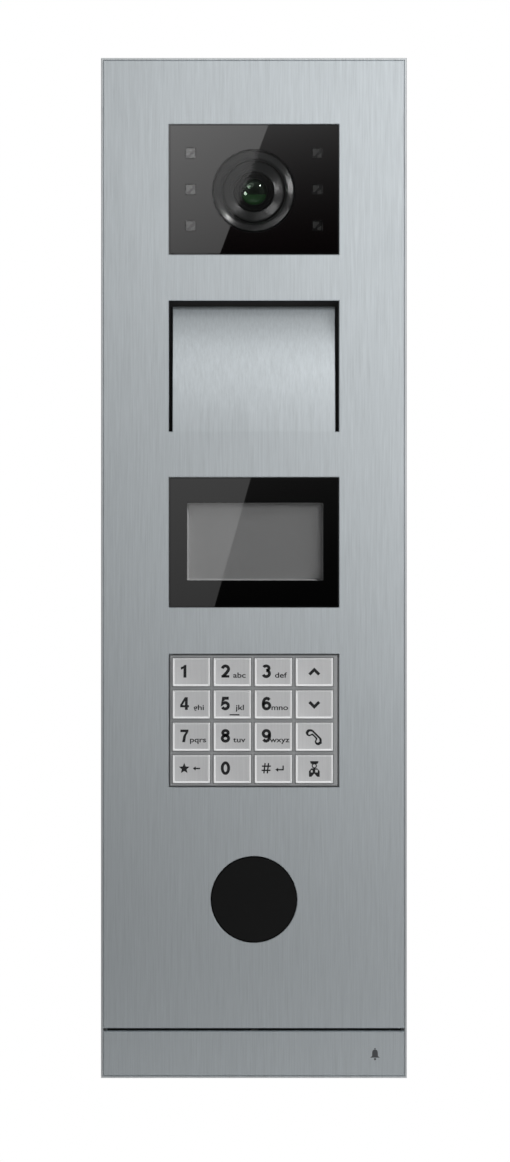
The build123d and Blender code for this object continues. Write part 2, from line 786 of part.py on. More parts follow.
def strip_clips():
    """Two sprung clips that hold the end strip in the chassis."""
    clips = Part()
    for x in both_sides(CLIP_X):
        clip = slab(14, 8, PLATE_BACK, PLATE_BACK + 0.8, x, CLIP_Z)
        clip += slab(8.8, 6, -5.8, -5.0, x, CLIP_Z)
        for side in both_sides(1):
            clip += slab(1.5, 8, PLATE_BACK, CHASSIS_FRONT, x + side * 6.25, CLIP_Z)
            clip += slab(0.9, 6, PLATE_BACK, -5.0, x + side * 3.95, CLIP_Z)
        clips += clip
    return clips


def lock_washer():
    """Washer under the lock screw's head."""
    return tube(4.2, LOCK_SHANK_R + 0.2, LOCK_SEAT - 0.8, LOCK_SEAT, z=LOCK_Z)


def lock_screw():
    """Captive screw with a pinned hexagon socket."""
    head_front = -5.0
    head_back = LOCK_SEAT - 0.8
    screw = break_front_edges(rod(LOCK_HEAD_R, head_front, head_back, z=LOCK_Z), 0.4)
    socket = prism(RegularPolygon(radius=1.9, side_count=6), head_front, head_front + 1.8, z=LOCK_Z)
    screw -= socket - rod(0.6, head_front + 0.2, head_front + 1.8, z=LOCK_Z)
    shank = turned(
        [(0, head_back - 0.5), (LOCK_SHANK_R, head_back - 0.5), (LOCK_SHANK_R, 10.2), (1.1, 11), (0, 11)],
        z=LOCK_Z,
    )
    return screw + shank


def all_parts():
    """Every sub-part by its node's name."""
    parts = {
        "back_box": back_box(),
        "cable_grommets": cable_grommets(),
        "lock_insert": lock_insert(),
        "cover_frame": cover_frame(),
        "wall_gasket": wall_gasket(),
        "front_plate": front_plate(),
        "chassis": chassis(),
        "chassis_fasteners": chassis_nuts() + module_screws(),
        "earth_terminal": earth_terminal(),
        "window_gaskets": window_gaskets(),
        "link_leads": link_leads(),
        "camera_window": window_pane(CAMERA_Z),
        "camera_housing": camera_housing(),
        "camera_board": camera_board(),
        "ir_leds": ir_leds(),
        "camera_socket": camera_socket(),
        "camera_yoke": camera_yoke(),
        "camera_ball": camera_ball(),
        "lens_barrel": lens_barrel(),
        "lens_glass": lens_glass(),
        "sensor_board": sensor_board(),
        "audio_housing": audio_housing(),
        "speaker_frame": speaker_frame(),
        "speaker_cone": speaker_cone(),
        "speaker_magnet": speaker_magnet(),
        "microphone": microphone(),
        "microphone_boot": microphone_boot(),
        "main_board": main_board(),
        "terminal_block": terminal_block(),
        "display_window": window_pane(DISPLAY_Z),
        "display_housing": module_housing(DISPLAY_Z, PANE_BACK, DISPLAY_BACK, LCD_BACK + BOARD),
        "display_board": board(DISPLAY_Z, LCD_BACK),
        "lcd_panel": lcd_panel(),
        "keypad_bezel": keypad_bezel(),
        "keypad_mat": keypad_mat(),
        "keypad_board": keypad_board(),
        "keypad_housing": module_housing(KEYPAD_Z, PANE_BACK, KEYPAD_BACK, MAT_BACK + BOARD),
        "reader_disc": reader_disc(),
        "reader_board": board(READER_Z, CAMERA_BOARD_FRONT),
        "reader_housing": module_housing(READER_Z, PANE_BACK, READER_BACK, CAMERA_BOARD_FRONT + BOARD),
        "end_strip": end_strip(),
        "strip_clips": strip_clips(),
        "lock_washer": lock_washer(),
        "lock_screw": lock_screw(),
    }
    for name, x, z in key_places():
        parts[name] = key(x, z)
    return parts


os.makedirs("parts", exist_ok=True)
for node, solid in all_parts().items():
    solid.label = node
    export_step(solid, f"parts/{node}.step")
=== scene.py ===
"""Door intercom panel: finishes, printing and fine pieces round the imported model.

Lengths are metres, but for printed outlines, which are millimetres. X runs to the right,
Y into the wall and Z up. The wall's surface is y = 0, and the panel's front faces -Y.
"""

import logging
import math
from collections.abc import Sequence
from dataclasses import dataclass, field
from enum import Enum

import bmesh
import bpy
from mathutils import Matrix, Vector


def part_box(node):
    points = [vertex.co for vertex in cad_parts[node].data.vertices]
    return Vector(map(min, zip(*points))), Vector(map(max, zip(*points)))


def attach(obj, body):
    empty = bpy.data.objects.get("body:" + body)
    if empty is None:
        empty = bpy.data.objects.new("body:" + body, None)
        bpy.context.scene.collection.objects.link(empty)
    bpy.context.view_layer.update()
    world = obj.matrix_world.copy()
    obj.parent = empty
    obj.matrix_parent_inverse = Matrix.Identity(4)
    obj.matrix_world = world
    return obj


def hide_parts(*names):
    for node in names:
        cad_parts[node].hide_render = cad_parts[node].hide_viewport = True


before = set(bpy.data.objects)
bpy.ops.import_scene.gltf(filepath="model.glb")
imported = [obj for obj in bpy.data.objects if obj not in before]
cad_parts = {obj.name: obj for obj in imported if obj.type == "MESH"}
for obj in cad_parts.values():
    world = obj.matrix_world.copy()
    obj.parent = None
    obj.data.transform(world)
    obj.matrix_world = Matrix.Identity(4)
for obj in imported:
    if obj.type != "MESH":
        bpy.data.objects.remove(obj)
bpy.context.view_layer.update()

LOG = logging.getLogger("door_intercom")
MM = 0.001
LETTER_SHARE = 0.55  # height of a small letter over the size of its type

Colour = tuple[float, float, float]
Point2 = tuple[float, float]
Loop = list[Point2]
Ring = list[bmesh.types.BMVert]
Piece = bpy.types.Object
Socket = bpy.types.NodeSocket


class Body(Enum):
    """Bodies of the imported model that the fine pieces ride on, besides the keys' own."""

    FRONT = "front_panel"
    STRIP = "end_strip"
    BALL = "camera_ball"


class Slot(Enum):
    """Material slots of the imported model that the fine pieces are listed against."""

    PLATE = "plate_steel"
    PANE = "pane"
    CAMERA = "camera_black"
    LENS = "lens"
    LAMP = "led"
    DISPLAY = "lcd"
    KEY = "key_steel"


class Reach(Enum):
    """Whether a lamp lights only the pieces it is linked to, or all but those."""

    ONLY = "INCLUDE"
    ALL_BUT = "EXCLUDE"


# ---------------------------------------------------------------------------
# Materials
# ---------------------------------------------------------------------------


@dataclass(frozen=True)
class Ramp:
    """Change of brightness between two places on one axis."""

    axis: str
    start: float
    end: float
    first: float
    last: float


class NodeGraph:
    """Node tree, with short calls that add and join nodes."""

    def __init__(self, tree: bpy.types.NodeTree) -> None:
        """Take up a tree and keep the nodes that it has."""
        self.nodes = tree.nodes
        self.links = tree.links

    def add(self, kind: str, settings: dict | None = None, **inputs: object) -> bpy.types.Node:
        """Add a node and fill its inputs.

        Args:
            kind: Blender's name for the node's type.
            settings: Attributes of the node.
            inputs: Values or sockets by input name, with _ for a space.

        Returns:
            The new node.
        """
        node = self.nodes.new(kind)
        for key, value in (settings or {}).items():
            setattr(node, key, value)
        for key, value in inputs.items():
            self.feed(node.inputs[key.replace("_", " ")], value)
        return node

    def feed(self, socket: Socket, value: object) -> None:
        """Link a socket into an input, or set its value.

        Args:
            socket: Input to fill.
            value: Socket, number, vector or colour.
        """
        if isinstance(value, Socket):
            self.links.new(value, socket)
            return
        if isinstance(value, tuple) and len(value) == 3 and socket.type == "RGBA":
            value = (*value, 1.0)
        socket.default_value = value

    def maths(self, operation: str, first: object, second: object) -> Socket:
        """Join two values by arithmetic.

        Args:
            operation: Blender's name for the operation.
            first: Number or socket.
            second: Number or socket.

        Returns:
            The result's socket.
        """
        node = self.nodes.new("ShaderNodeMath")
        node.operation = operation
        self.feed(node.inputs[0], first)
        self.feed(node.inputs[1], second)
        return node.outputs[0]

    def spread(self, value: object, low: float, high: float, start: float = 0.0, end: float = 1.0) -> Socket:
        """Map a value from one range to another.

        Args:
            value: Socket to map.
            low: Result at start.
            high: Result at end.
            start: Lowest value that counts.
            end: Highest value that counts.

        Returns:
            The result's socket.
        """
        node = self.nodes.new("ShaderNodeMapRange")
        for socket, number in zip(node.inputs, (value, start, end, low, high)):
            self.feed(socket, number)
        return node.outputs[0]

    def product(self, place: Socket, ramps: Sequence[Ramp]) -> Socket:
        """Multiply ramps that each follow one axis of a place.

        Args:
            place: Socket of the place.
            ramps: Ramps to multiply.

        Returns:
            The product's socket.
        """
        axes = self.add("ShaderNodeSeparateXYZ", Vector=place)
        result = 1.0
        for ramp in ramps:
            level = self.spread(axes.outputs[ramp.axis], ramp.first, ramp.last, ramp.start, ramp.end)
            result = self.maths("MULTIPLY", result, level)
        return result


class ShaderTree(NodeGraph):
    """Node graph of one material."""

    def __init__(self, name: str) -> None:
        """Start an empty material.

        Args:
            name: Name of the material.
        """
        self.material = bpy.data.materials.new(name)
        self.material.use_nodes = True
        super().__init__(self.material.node_tree)
        self.nodes.clear()
        self.output = self.nodes.new("ShaderNodeOutputMaterial")
        self.place = self.nodes.new("ShaderNodeTexCoord").outputs["Object"]

    def noise(self, scale: Sequence[float], detail: float = 2.0, rough: float = 0.5) -> Socket:
        """Add noise that is fixed to the piece.

        Args:
            scale: Repeats per metre along each axis.
            detail: Octaves of the noise.
            rough: Share of the finer octaves.

        Returns:
            The noise's socket.
        """
        place = self.add("ShaderNodeMapping", Vector=self.place, Scale=tuple(scale)).outputs[0]
        node = self.add("ShaderNodeTexNoise", Vector=place, Scale=1.0, Detail=detail, Roughness=rough)
        return node.outputs[0]

    def blend(self, factor: object, first: Colour, second: Colour) -> Socket:
        """Mix two colours.

        Args:
            factor: Share of the second colour.
            first: Colour at 0.
            second: Colour at 1.

        Returns:
            The mixed colour's socket.
        """
        node = self.nodes.new("ShaderNodeMix")
        node.data_type = "RGBA"
        colours = [socket for socket in node.inputs if socket.type == "RGBA"]
        for socket, value in zip((node.inputs[0], *colours), (factor, first, second)):
            self.feed(socket, value)
        return next(socket for socket in node.outputs if socket.type == "RGBA")

    def bump(self, height: Socket, strength: float, distance: float) -> Socket:
        """Return normals raised by a height."""
        return self.add("ShaderNodeBump", Strength=strength, Distance=distance, Height=height).outputs[0]

    def finish(self, shader: bpy.types.Node) -> bpy.types.Material:
        """Join a shader to the output and return the material."""
        self.links.new(shader.outputs[0], self.output.inputs["Surface"])
        return self.material

    def surface(self, **inputs: object) -> bpy.types.Material:
        """Return the material with one principled surface of these inputs."""
        return self.finish(self.add("ShaderNodeBsdfPrincipled", **inputs))


def scaled(colour: Colour, factor: float) -> Colour:
    """Return a colour made lighter or darker."""
    return tuple(min(1.0, part * factor) for part in colour)


@dataclass(frozen=True)
class BrushedSteel:
    """Stainless steel with a fine upright grain."""

    name: str
    colour: Colour = (0.58, 0.62, 0.643)
    roughness: float = 0.38
    anisotropy: float = 0.6
    streaks: float = 0.09
    line_width: float = 0.7 * MM
    line_length: float = 24 * MM
    metallic: float = 1.0

    def build(self) -> bpy.types.Material:
        """Build the finish.

        Returns:
            Its material.
        """
        tree = ShaderTree(self.name)
        coarse = self.lines(tree, 1.0)
        fine = self.lines(tree, 0.28)
        cloud = tree.noise((22, 22, 9), 3.0)
        mixed = tree.maths("ADD", tree.maths("MULTIPLY", coarse, 0.6), tree.maths("MULTIPLY", fine, 0.4))
        mixed = tree.maths("ADD", mixed, tree.maths("MULTIPLY", tree.maths("SUBTRACT", cloud, 0.5), 0.22))
        factor = tree.spread(mixed, 0.0, 1.0, 0.28, 0.72)
        dark = scaled(self.colour, 1 - self.streaks)
        light = scaled(self.colour, 1 + self.streaks)
        across = tree.add("ShaderNodeCombineXYZ", X=1.0, Y=0.0, Z=0.0)
        return tree.surface(
            Base_Color=tree.blend(factor, dark, light),
            Metallic=self.metallic,
            Roughness=tree.spread(factor, self.roughness + 0.04, self.roughness - 0.04),
            Anisotropic=self.anisotropy,
            Tangent=across.outputs[0],
            Normal=tree.bump(mixed, 0.16, 0.03 * MM),
        )

    def lines(self, tree: ShaderTree, size: float) -> Socket:
        """Add noise that is drawn out along the grain.

        Args:
            tree: Graph of the material.
            size: Share of the lines' full size.

        Returns:
            The noise's socket.
        """
        across = 1 / (self.line_width * size)
        along = 1 / (self.line_length * size)
        return tree.noise((across, across, along))


@dataclass(frozen=True)
class TurnedMetal:
    """Plated or turned metal with a fine, even tooth."""

    name: str
    colour: Colour
    roughness: float = 0.32
    tooth: float = 0.25 * MM
    stain: float = 0.12

    def build(self) -> bpy.types.Material:
        """Build the finish.

        Returns:
            Its material.
        """
        tree = ShaderTree(self.name)
        tooth = tree.noise((1 / self.tooth,) * 3)
        cloud = tree.noise((120, 120, 120), 3.0)
        dull = scaled(self.colour, 1 - self.stain)
        bright = scaled(self.colour, 1 + self.stain)
        return tree.surface(
            Base_Color=tree.blend(cloud, dull, bright),
            Metallic=1.0,
            Roughness=tree.spread(cloud, self.roughness - 0.06, self.roughness + 0.10),
            Normal=tree.bump(tooth, 0.12, 0.03 * MM),
        )


@dataclass(frozen=True)
class MouldedPlastic:
    """Moulded plastic or rubber with a spark-eroded grain."""

    name: str
    colour: Colour
    roughness: float = 0.5
    grain: float = 0.35 * MM
    depth: float = 0.02 * MM
    variation: float = 0.12
    coat: float = 0.0
    shine: float = 0.5

    def build(self) -> bpy.types.Material:
        """Build the finish.

        Returns:
            Its material.
        """
        tree = ShaderTree(self.name)
        grain = tree.noise((1 / self.grain,) * 3, 3.0, 0.6)
        cloud = tree.noise((35, 35, 35), 3.0)
        low = scaled(self.colour, 1 - self.variation)
        high = scaled(self.colour, 1 + self.variation)
        return tree.surface(
            Base_Color=tree.blend(cloud, low, high),
            Roughness=tree.spread(grain, self.roughness - 0.07, self.roughness + 0.07),
            Specular_IOR_Level=self.shine,
            Coat_Weight=self.coat,
            Coat_Roughness=0.15,
            Normal=tree.bump(grain, 0.35, self.depth),
        )


@dataclass(frozen=True)
class CircuitBoard:
    """Solder mask over copper tracks."""

    name: str
    mask: Colour
    track: Colour
    pitch: float = 1.6 * MM
    shine: float = 0.5
    gloss: float = 0.4

    def build(self) -> bpy.types.Material:
        """Build the finish.

        Returns:
            Its material.
        """
        tree = ShaderTree(self.name)
        cells = tree.add(
            "ShaderNodeTexVoronoi",
            {"feature": "DISTANCE_TO_EDGE", "distance": "MANHATTAN"},
            Vector=tree.place,
            Scale=0.25 / self.pitch,
        )
        lines = tree.add(
            "ShaderNodeTexWave",
            {"wave_type": "BANDS", "bands_direction": "X"},
            Vector=tree.place,
            Scale=0.05 / self.pitch,
            Distortion=1.0,
        )
        track = tree.maths("GREATER_THAN", lines.outputs[1], 0.72)
        edge = tree.maths("LESS_THAN", cells.outputs[0], 0.05)
        copper = tree.maths("MAXIMUM", track, edge)
        return tree.surface(
            Base_Color=tree.blend(copper, self.mask, self.track),
            Roughness=0.32,
            Specular_IOR_Level=self.shine,
            Coat_Weight=self.gloss,
            Normal=tree.bump(copper, 0.4, 0.05 * MM),
        )


@dataclass(frozen=True)
class ClearPane:
    """Clear window that lets lamps through and mirrors a little."""

    name: str
    tint: Colour = (0.75, 0.75, 0.75)
    mirror: float = 0.04
    roughness: float = 0.012

    def build(self) -> bpy.types.Material:
        """Build the finish.

        Returns:
            Its material.
        """
        tree = ShaderTree(self.name)
        through = tree.add("ShaderNodeBsdfTransparent", Color=self.tint)
        smear = tree.noise((60, 60, 25), 2.0)
        gloss = tree.add(
            "ShaderNodeBsdfGlossy",
            Color=(1.0, 1.0, 1.0),
            Roughness=tree.spread(smear, self.roughness, self.roughness * 1.5),
        )
        facing = tree.add("ShaderNodeLayerWeight", Blend=0.25)
        share = tree.spread(facing.outputs["Facing"], self.mirror, 0.55, 0.45, 1.0)
        mixed = tree.add("ShaderNodeMixShader", Fac=share)
        tree.links.new(through.outputs[0], mixed.inputs[1])
        tree.links.new(gloss.outputs[0], mixed.inputs[2])
        return tree.finish(mixed)


@dataclass(frozen=True)
class BlackGlass:
    """Pane with black print behind it."""

    name: str
    colour: Colour

    def build(self) -> bpy.types.Material:
        """Build the finish.

        Returns:
            Its material.
        """
        tree = ShaderTree(self.name)
        smear = tree.noise((60, 60, 25))
        return tree.surface(
            Base_Color=tree.blend(smear, self.colour, scaled(self.colour, 1.3)),
            Roughness=tree.spread(smear, 0.008, 0.014),
            IOR=1.5,
        )


@dataclass(frozen=True)
class CoatedLens:
    """Lens glass with a green anti-glare coating over a dark interior, and a painted green reflection on its
    lower part.
    """

    name: str
    deep: Colour = (0.004, 0.008, 0.005)
    painted_reflection: Colour = (0.035, 0.075, 0.035)

    def build(self) -> bpy.types.Material:
        """Build the finish.

        Returns:
            Its material.
        """
        tree = ShaderTree(self.name)
        height = tree.add("ShaderNodeSeparateXYZ", Vector=tree.place).outputs["Z"]
        middle = sum(corner.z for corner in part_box("lens_glass")) / 2
        # Painted reflection: below the lens's middle the base colour turns green, standing in for the
        # coating's reflection.
        low = tree.spread(height, 1.0, 0.0, middle - 1.4 * MM, middle - 0.9 * MM)
        return tree.surface(
            Base_Color=tree.blend(low, self.deep, self.painted_reflection),
            Roughness=0.04,
            IOR=1.6,
            Coat_Weight=1.0,
            Coat_Roughness=0.02,
            Coat_Tint=(0.55, 1.0, 0.6),
        )


@dataclass(frozen=True)
class DisplayFace:
    """Unlit liquid crystal display with its faint grid of picture elements."""

    name: str
    colour: Colour = (0.53, 0.53, 0.53)
    pitch: float = 0.43 * MM

    def build(self) -> bpy.types.Material:
        """Build the finish.

        Returns:
            Its material.
        """
        tree = ShaderTree(self.name)
        lines = []
        for direction in ("X", "Z"):
            wave = tree.add(
                "ShaderNodeTexWave",
                {"wave_type": "BANDS", "bands_direction": direction},
                Vector=tree.place,
                Scale=0.314 / self.pitch,
            )
            lines.append(wave.outputs[1])
        grid = tree.maths("MULTIPLY", *lines)
        return tree.surface(
            Base_Color=tree.blend(grid, scaled(self.colour, 0.97), scaled(self.colour, 1.03)),
            Roughness=0.45,
        )


@dataclass(frozen=True)
class Ink:
    """Printed ink with a slightly uneven cover."""

    name: str
    colour: Colour = (0.012, 0.012, 0.013)
    roughness: float = 0.55
    shine: float = 0.2

    def build(self) -> bpy.types.Material:
        """Build the finish.

        Returns:
            Its material.
        """
        tree = ShaderTree(self.name)
        cover = tree.noise((4000, 4000, 4000))
        return tree.surface(
            Base_Color=tree.blend(cover, self.colour, scaled(self.colour, 1.6)),
            Roughness=self.roughness,
            Specular_IOR_Level=self.shine,
        )


class Palette:
    """Every finish of the panel, built once and found by name."""

    def __init__(self) -> None:
        """Build the finishes."""
        finishes = (
            BrushedSteel("plate_steel"),
            BrushedSteel("rim_steel", colour=(0.66, 0.68, 0.69), roughness=0.34),
            BrushedSteel("key_steel", (0.68, 0.68, 0.685), 0.42, anisotropy=0.4, streaks=0.05, metallic=0.55),
            # Near-white finish laid on the keys' side and foot bevels as a painted highlight.
            BrushedSteel("key_painted_highlight", (0.96, 0.96, 0.96), 0.35, anisotropy=0.4, streaks=0.02, metallic=0.25),
            MouldedPlastic("chassis_coat", (0.035, 0.035, 0.038), roughness=0.45, grain=0.6 * MM),
            TurnedMetal("zinc_plate", (0.62, 0.61, 0.57)),
            TurnedMetal("stainless", (0.56, 0.56, 0.55), roughness=0.28),
            TurnedMetal("brass", (0.72, 0.52, 0.22), roughness=0.25),
            TurnedMetal("ferrite", (0.10, 0.10, 0.10), roughness=0.6),
            TurnedMetal("aluminium_can", (0.72, 0.72, 0.72), roughness=0.3),
            MouldedPlastic("box_plastic", (0.055, 0.060, 0.066), 0.55, grain=0.5 * MM, depth=0.04 * MM),
            MouldedPlastic("housing_plastic", (0.022, 0.022, 0.024), roughness=0.5),
            MouldedPlastic("rubber", (0.014, 0.014, 0.014), roughness=0.75, grain=0.8 * MM),
            MouldedPlastic("silicone", (0.30, 0.31, 0.32), roughness=0.6),
            MouldedPlastic("socket_black", (0.016, 0.017, 0.017), 0.30, depth=0.006 * MM, coat=0.5),
            MouldedPlastic("barrel_black", (0.006, 0.006, 0.006), roughness=0.35, depth=0.004 * MM),
            MouldedPlastic("reader_black", (0.007, 0.007, 0.007), 0.62, grain=0.25 * MM, shine=0.08),
            MouldedPlastic("bezel_grey", (0.33, 0.335, 0.34), roughness=0.45, grain=0.2 * MM),
            MouldedPlastic("terminal_green", (0.04, 0.20, 0.09), roughness=0.4),
            MouldedPlastic("lead_grey", (0.34, 0.35, 0.36), roughness=0.55),
            MouldedPlastic("cone_paper", (0.028, 0.028, 0.030), 0.8, grain=1.0 * MM, depth=0.08 * MM),
            MouldedPlastic("frame_grey", (0.30, 0.30, 0.30), roughness=0.5, grain=0.2 * MM),
            MouldedPlastic("lamp_pale", (0.22, 0.23, 0.22), roughness=0.4, grain=0.1 * MM),
            MouldedPlastic("lamp_dark", (0.02, 0.02, 0.02), roughness=0.3, grain=0.1 * MM),
            CircuitBoard("green_board", (0.008, 0.060, 0.026), (0.020, 0.110, 0.050)),
            CircuitBoard("black_board", (0.003, 0.002, 0.002), (0.004, 0.003, 0.003), shine=0.1, gloss=0.0),
            ClearPane("camera_pane", mirror=0.015, roughness=0.03),
            ClearPane("clear_pane"),
            BlackGlass("camera_glass", (0.0030, 0.0014, 0.0016)),
            BlackGlass("display_glass", (0.0006, 0.0006, 0.0006)),
            CoatedLens("coated_lens"),
            DisplayFace("display_face"),
            Ink("key_ink"),
            Ink("mark_ink", colour=(0.05, 0.052, 0.055)),
        )
        self.materials = {finish.name: finish.build() for finish in finishes}

    def paint(self, piece: Piece, name: str) -> None:
        """Give a piece one finish in place of what it has."""
        piece.data.materials.clear()
        piece.data.materials.append(self.materials[name])

    def dress(self, finish: str, *nodes: str) -> None:
        """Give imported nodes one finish.

        Args:
            finish: Name of the finish.
            nodes: Names of the nodes.
        """
        for node in nodes:
            self.paint(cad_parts[node], finish)
            LOG.info("dressed %s in %s", node, finish)


# ---------------------------------------------------------------------------
# Shapes
# ---------------------------------------------------------------------------


def middle_of(node: str) -> Vector:
    """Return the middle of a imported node's box."""
    low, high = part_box(node)
    return (low + high) / 2


def object_from(name: str, mesh: bmesh.types.BMesh, smooth_angle: float = 40.0) -> Piece:
    """Turn a bmesh into a linked object with outward faces.

    Args:
        name: Name of the piece.
        mesh: Geometry, freed afterwards.
        smooth_angle: Edges sharper than this many degrees stay sharp.

    Returns:
        The new object.
    """
    bmesh.ops.recalc_face_normals(mesh, faces=mesh.faces)
    for face in mesh.faces:
        face.smooth = True
    for edge in mesh.edges:
        sharp = len(edge.link_faces) != 2 or edge.calc_face_angle(math.pi) > math.radians(smooth_angle)
        edge.smooth = not sharp
    data = bpy.data.meshes.new(name)
    mesh.to_mesh(data)
    mesh.free()
    piece = bpy.data.objects.new(name, data)
    bpy.context.scene.collection.objects.link(piece)
    return piece


def rounded_corners(points: Loop, radius: float, steps: int = 4) -> Loop:
    """Round each corner of an open line.

    Args:
        points: Corners of the line.
        radius: Length taken off each side of a corner.
        steps: Points along each rounded corner.

    Returns:
        The line with its inner corners rounded.
    """
    line = [points[0]]
    for before, corner, after in zip(points, points[1:], points[2:]):
        here = Vector(corner)
        back = Vector(before) - here
        ahead = Vector(after) - here
        reach = min(radius, back.length * 0.45, ahead.length * 0.45)
        start = here + back.normalized() * reach
        end = here + ahead.normalized() * reach
        for step in range(steps + 1):
            t = step / steps
            spot = start * (1 - t) ** 2 + here * 2 * t * (1 - t) + end * t**2
            line.append((spot.x, spot.y))
    line.append(points[-1])
    return line


def bridge(mesh: bmesh.types.BMesh, first: Ring, second: Ring) -> None:
    """Join two rings with faces.

    Args:
        mesh: Mesh that holds both rings.
        first: Vertices of one ring, or a single one.
        second: Vertices of the other ring, or a single one.
    """
    count = max(len(first), len(second))
    for index in range(count):
        after = (index + 1) % count
        corners = [first[index % len(first)], first[after % len(first)]]
        corners += [second[after % len(second)], second[index % len(second)]]
        unique = list(dict.fromkeys(corners))
        if len(unique) > 2:
            mesh.faces.new(unique)


def lathe(name: str, profile: Loop, centre: Vector, segments: int = 128) -> Piece:
    """Turn a profile about a line along Y.

    Args:
        name: Name of the piece.
        profile: Radius and depth of each point.
        centre: Any point on the axis.
        segments: Faces round the axis.

    Returns:
        The turned piece.
    """
    mesh = bmesh.new()
    rings = []
    for radius, depth in profile:
        if radius < 1e-7:
            rings.append([mesh.verts.new((centre.x, depth, centre.z))])
            continue
        ring = []
        for index in range(segments):
            angle = math.tau * index / segments
            x = centre.x + radius * math.cos(angle)
            z = centre.z + radius * math.sin(angle)
            ring.append(mesh.verts.new((x, depth, z)))
        rings.append(ring)
    for first, second in zip(rings, rings[1:]):
        bridge(mesh, first, second)
    return object_from(name, mesh)


def rounded_rectangle(width: float, height: float, radius: float, steps: int = 5) -> Loop:
    """Draw a rectangle with round corners about its middle.

    Args:
        width: Its size along X.
        height: Its size along Z.
        radius: Radius of its corners.
        steps: Straight pieces along each corner.

    Returns:
        Its outline.
    """
    outline = []
    corners = ((1, 1, 0), (-1, 1, 90), (-1, -1, 180), (1, -1, 270))
    for side, level, turn in corners:
        for step in range(steps + 1):
            angle = math.radians(turn + 90 * step / steps)
            x = side * (width / 2 - radius) + radius * math.cos(angle)
            z = level * (height / 2 - radius) + radius * math.sin(angle)
            outline.append((x, z))
    return outline


def loft(name: str, rings: Sequence[tuple[Loop, float]], centre: Vector, hollow: bool = False) -> Piece:
    """Join outlines of equal length, each at its own depth.

    Args:
        name: Name of the piece.
        rings: Outline in X and Z, and depth, of each ring.
        centre: Place of the outlines' middle; its Y is not used.
        hollow: Whether the last ring joins the first, round a hole, in place of two closed ends.

    Returns:
        The lofted piece.
    """
    mesh = bmesh.new()
    levels = []
    for outline, depth in rings:
        levels.append([mesh.verts.new((centre.x + x, depth, centre.z + z)) for x, z in outline])
    for first, second in zip(levels, levels[1:]):
        bridge(mesh, first, second)
    if hollow:
        bridge(mesh, levels[-1], levels[0])
    else:
        mesh.faces.new(levels[0])
        mesh.faces.new(levels[-1])
    return object_from(name, mesh)


def join(pieces: Sequence[Piece], name: str) -> Piece:
    """Join several mesh objects at the origin into one, keeping their faces' finish.

    Args:
        pieces: Objects to join; they are removed.
        name: Name of the joined piece.

    Returns:
        The joined piece.
    """
    mesh = bmesh.new()
    materials: list[bpy.types.Material] = []
    for piece in pieces:
        start = len(mesh.faces)
        mesh.from_mesh(piece.data)
        mesh.faces.ensure_lookup_table()
        for face in mesh.faces[start:]:
            material = piece.data.materials[face.material_index] if piece.data.materials else None
            if material is not None and material not in materials:
                materials.append(material)
            face.material_index = materials.index(material) if material is not None else 0
    joined = bpy.data.meshes.new(name)
    for material in materials:
        joined.materials.append(material)
    mesh.to_mesh(joined)
    mesh.free()
    for piece in pieces:
        bpy.data.objects.remove(piece)
    result = bpy.data.objects.new(name, joined)
    bpy.context.scene.collection.objects.link(result)
    return result


# ---------------------------------------------------------------------------
# Printing
# ---------------------------------------------------------------------------


def ring_points(radius: float, centre: Point2 = (0.0, 0.0), steps: int = 28) -> Loop:
    """Return the points of a circle."""
    return arc(centre, (radius, radius), 0.0, 360.0 - 360.0 / steps, steps - 1)


def arc(centre: Point2, radii: Point2, start: float, end: float, steps: int = 14) -> Loop:
    """Draw part of an ellipse.

    Args:
        centre: Middle of the ellipse.
        radii: Its half sizes along both axes.
        start: Angle of the first point in degrees.
        end: Angle of the last point in degrees.
        steps: Straight pieces along the line.

    Returns:
        The points of the line.
    """
    line = []
    for step in range(steps + 1):
        angle = math.radians(start + (end - start) * step / steps)
        line.append((centre[0] + radii[0] * math.cos(angle), centre[1] + radii[1] * math.sin(angle)))
    return line


def band(centre: Point2, radii: Point2, width: float) -> list[Loop]:
    """Draw an elliptic ring of one width.

    Args:
        centre: Middle of the ring.
        radii: Half sizes of its middle line.
        width: Width of the ring.

    Returns:
        Its outer and its inner outline.
    """
    outlines = []
    for side in (0.5, -0.5):
        grown = (radii[0] + side * width, radii[1] + side * width)
        outlines.append(arc(centre, grown, 0.0, 348.0, 29))
    return outlines


def stroke(points: Loop, width: float) -> Loop:
    """Give an open line a width, with mitred corners.

    Args:
        points: Points of the line.
        width: Width of the stroke.

    Returns:
        The outline of the stroke.
    """
    left: Loop = []
    right: Loop = []
    for index, point in enumerate(points):
        here = Vector(point)
        before = Vector(points[index - 1]) if index else None
        after = Vector(points[index + 1]) if index + 1 < len(points) else None
        into = (here - before).normalized() if before is not None else (after - here).normalized()
        out = (after - here).normalized() if after is not None else into
        along = (into + out).normalized()
        across = Vector((-along.y, along.x))
        reach = width / 2 / max(0.35, across.dot(Vector((-into.y, into.x))))
        left.append(tuple(here + across * reach))
        right.append(tuple(here - across * reach))
    return left + right[::-1]


def star(radius: float, points: int = 5, waist: float = 0.45) -> Loop:
    """Draw a star with one point up.

    Args:
        radius: Radius of its points.
        points: Number of its points.
        waist: Share of the radius between two points.

    Returns:
        Its outline.
    """
    outline = []
    for index in range(2 * points):
        angle = math.pi / 2 + math.pi * index / points
        reach = radius if index % 2 == 0 else radius * waist
        outline.append((reach * math.cos(angle), reach * math.sin(angle)))
    return outline


def moved(loop: Loop, x: float, z: float) -> Loop:
    """Return a loop moved by an offset."""
    return [(a + x, b + z) for a, b in loop]


def turned(loop: Loop, degrees: float) -> Loop:
    """Turn a loop about its origin.

    Args:
        loop: Outline to turn.
        degrees: Angle of the turn.

    Returns:
        The turned outline.
    """
    c = math.cos(math.radians(degrees))
    s = math.sin(math.radians(degrees))
    return [(a * c - b * s, a * s + b * c) for a, b in loop]


@dataclass(frozen=True)
class Word:
    """Small letters, placed by their left end and baseline in millimetres."""

    text: str
    left: float
    base: float
    height: float
    weight: float = 0.05
    stretch: float = 1.28


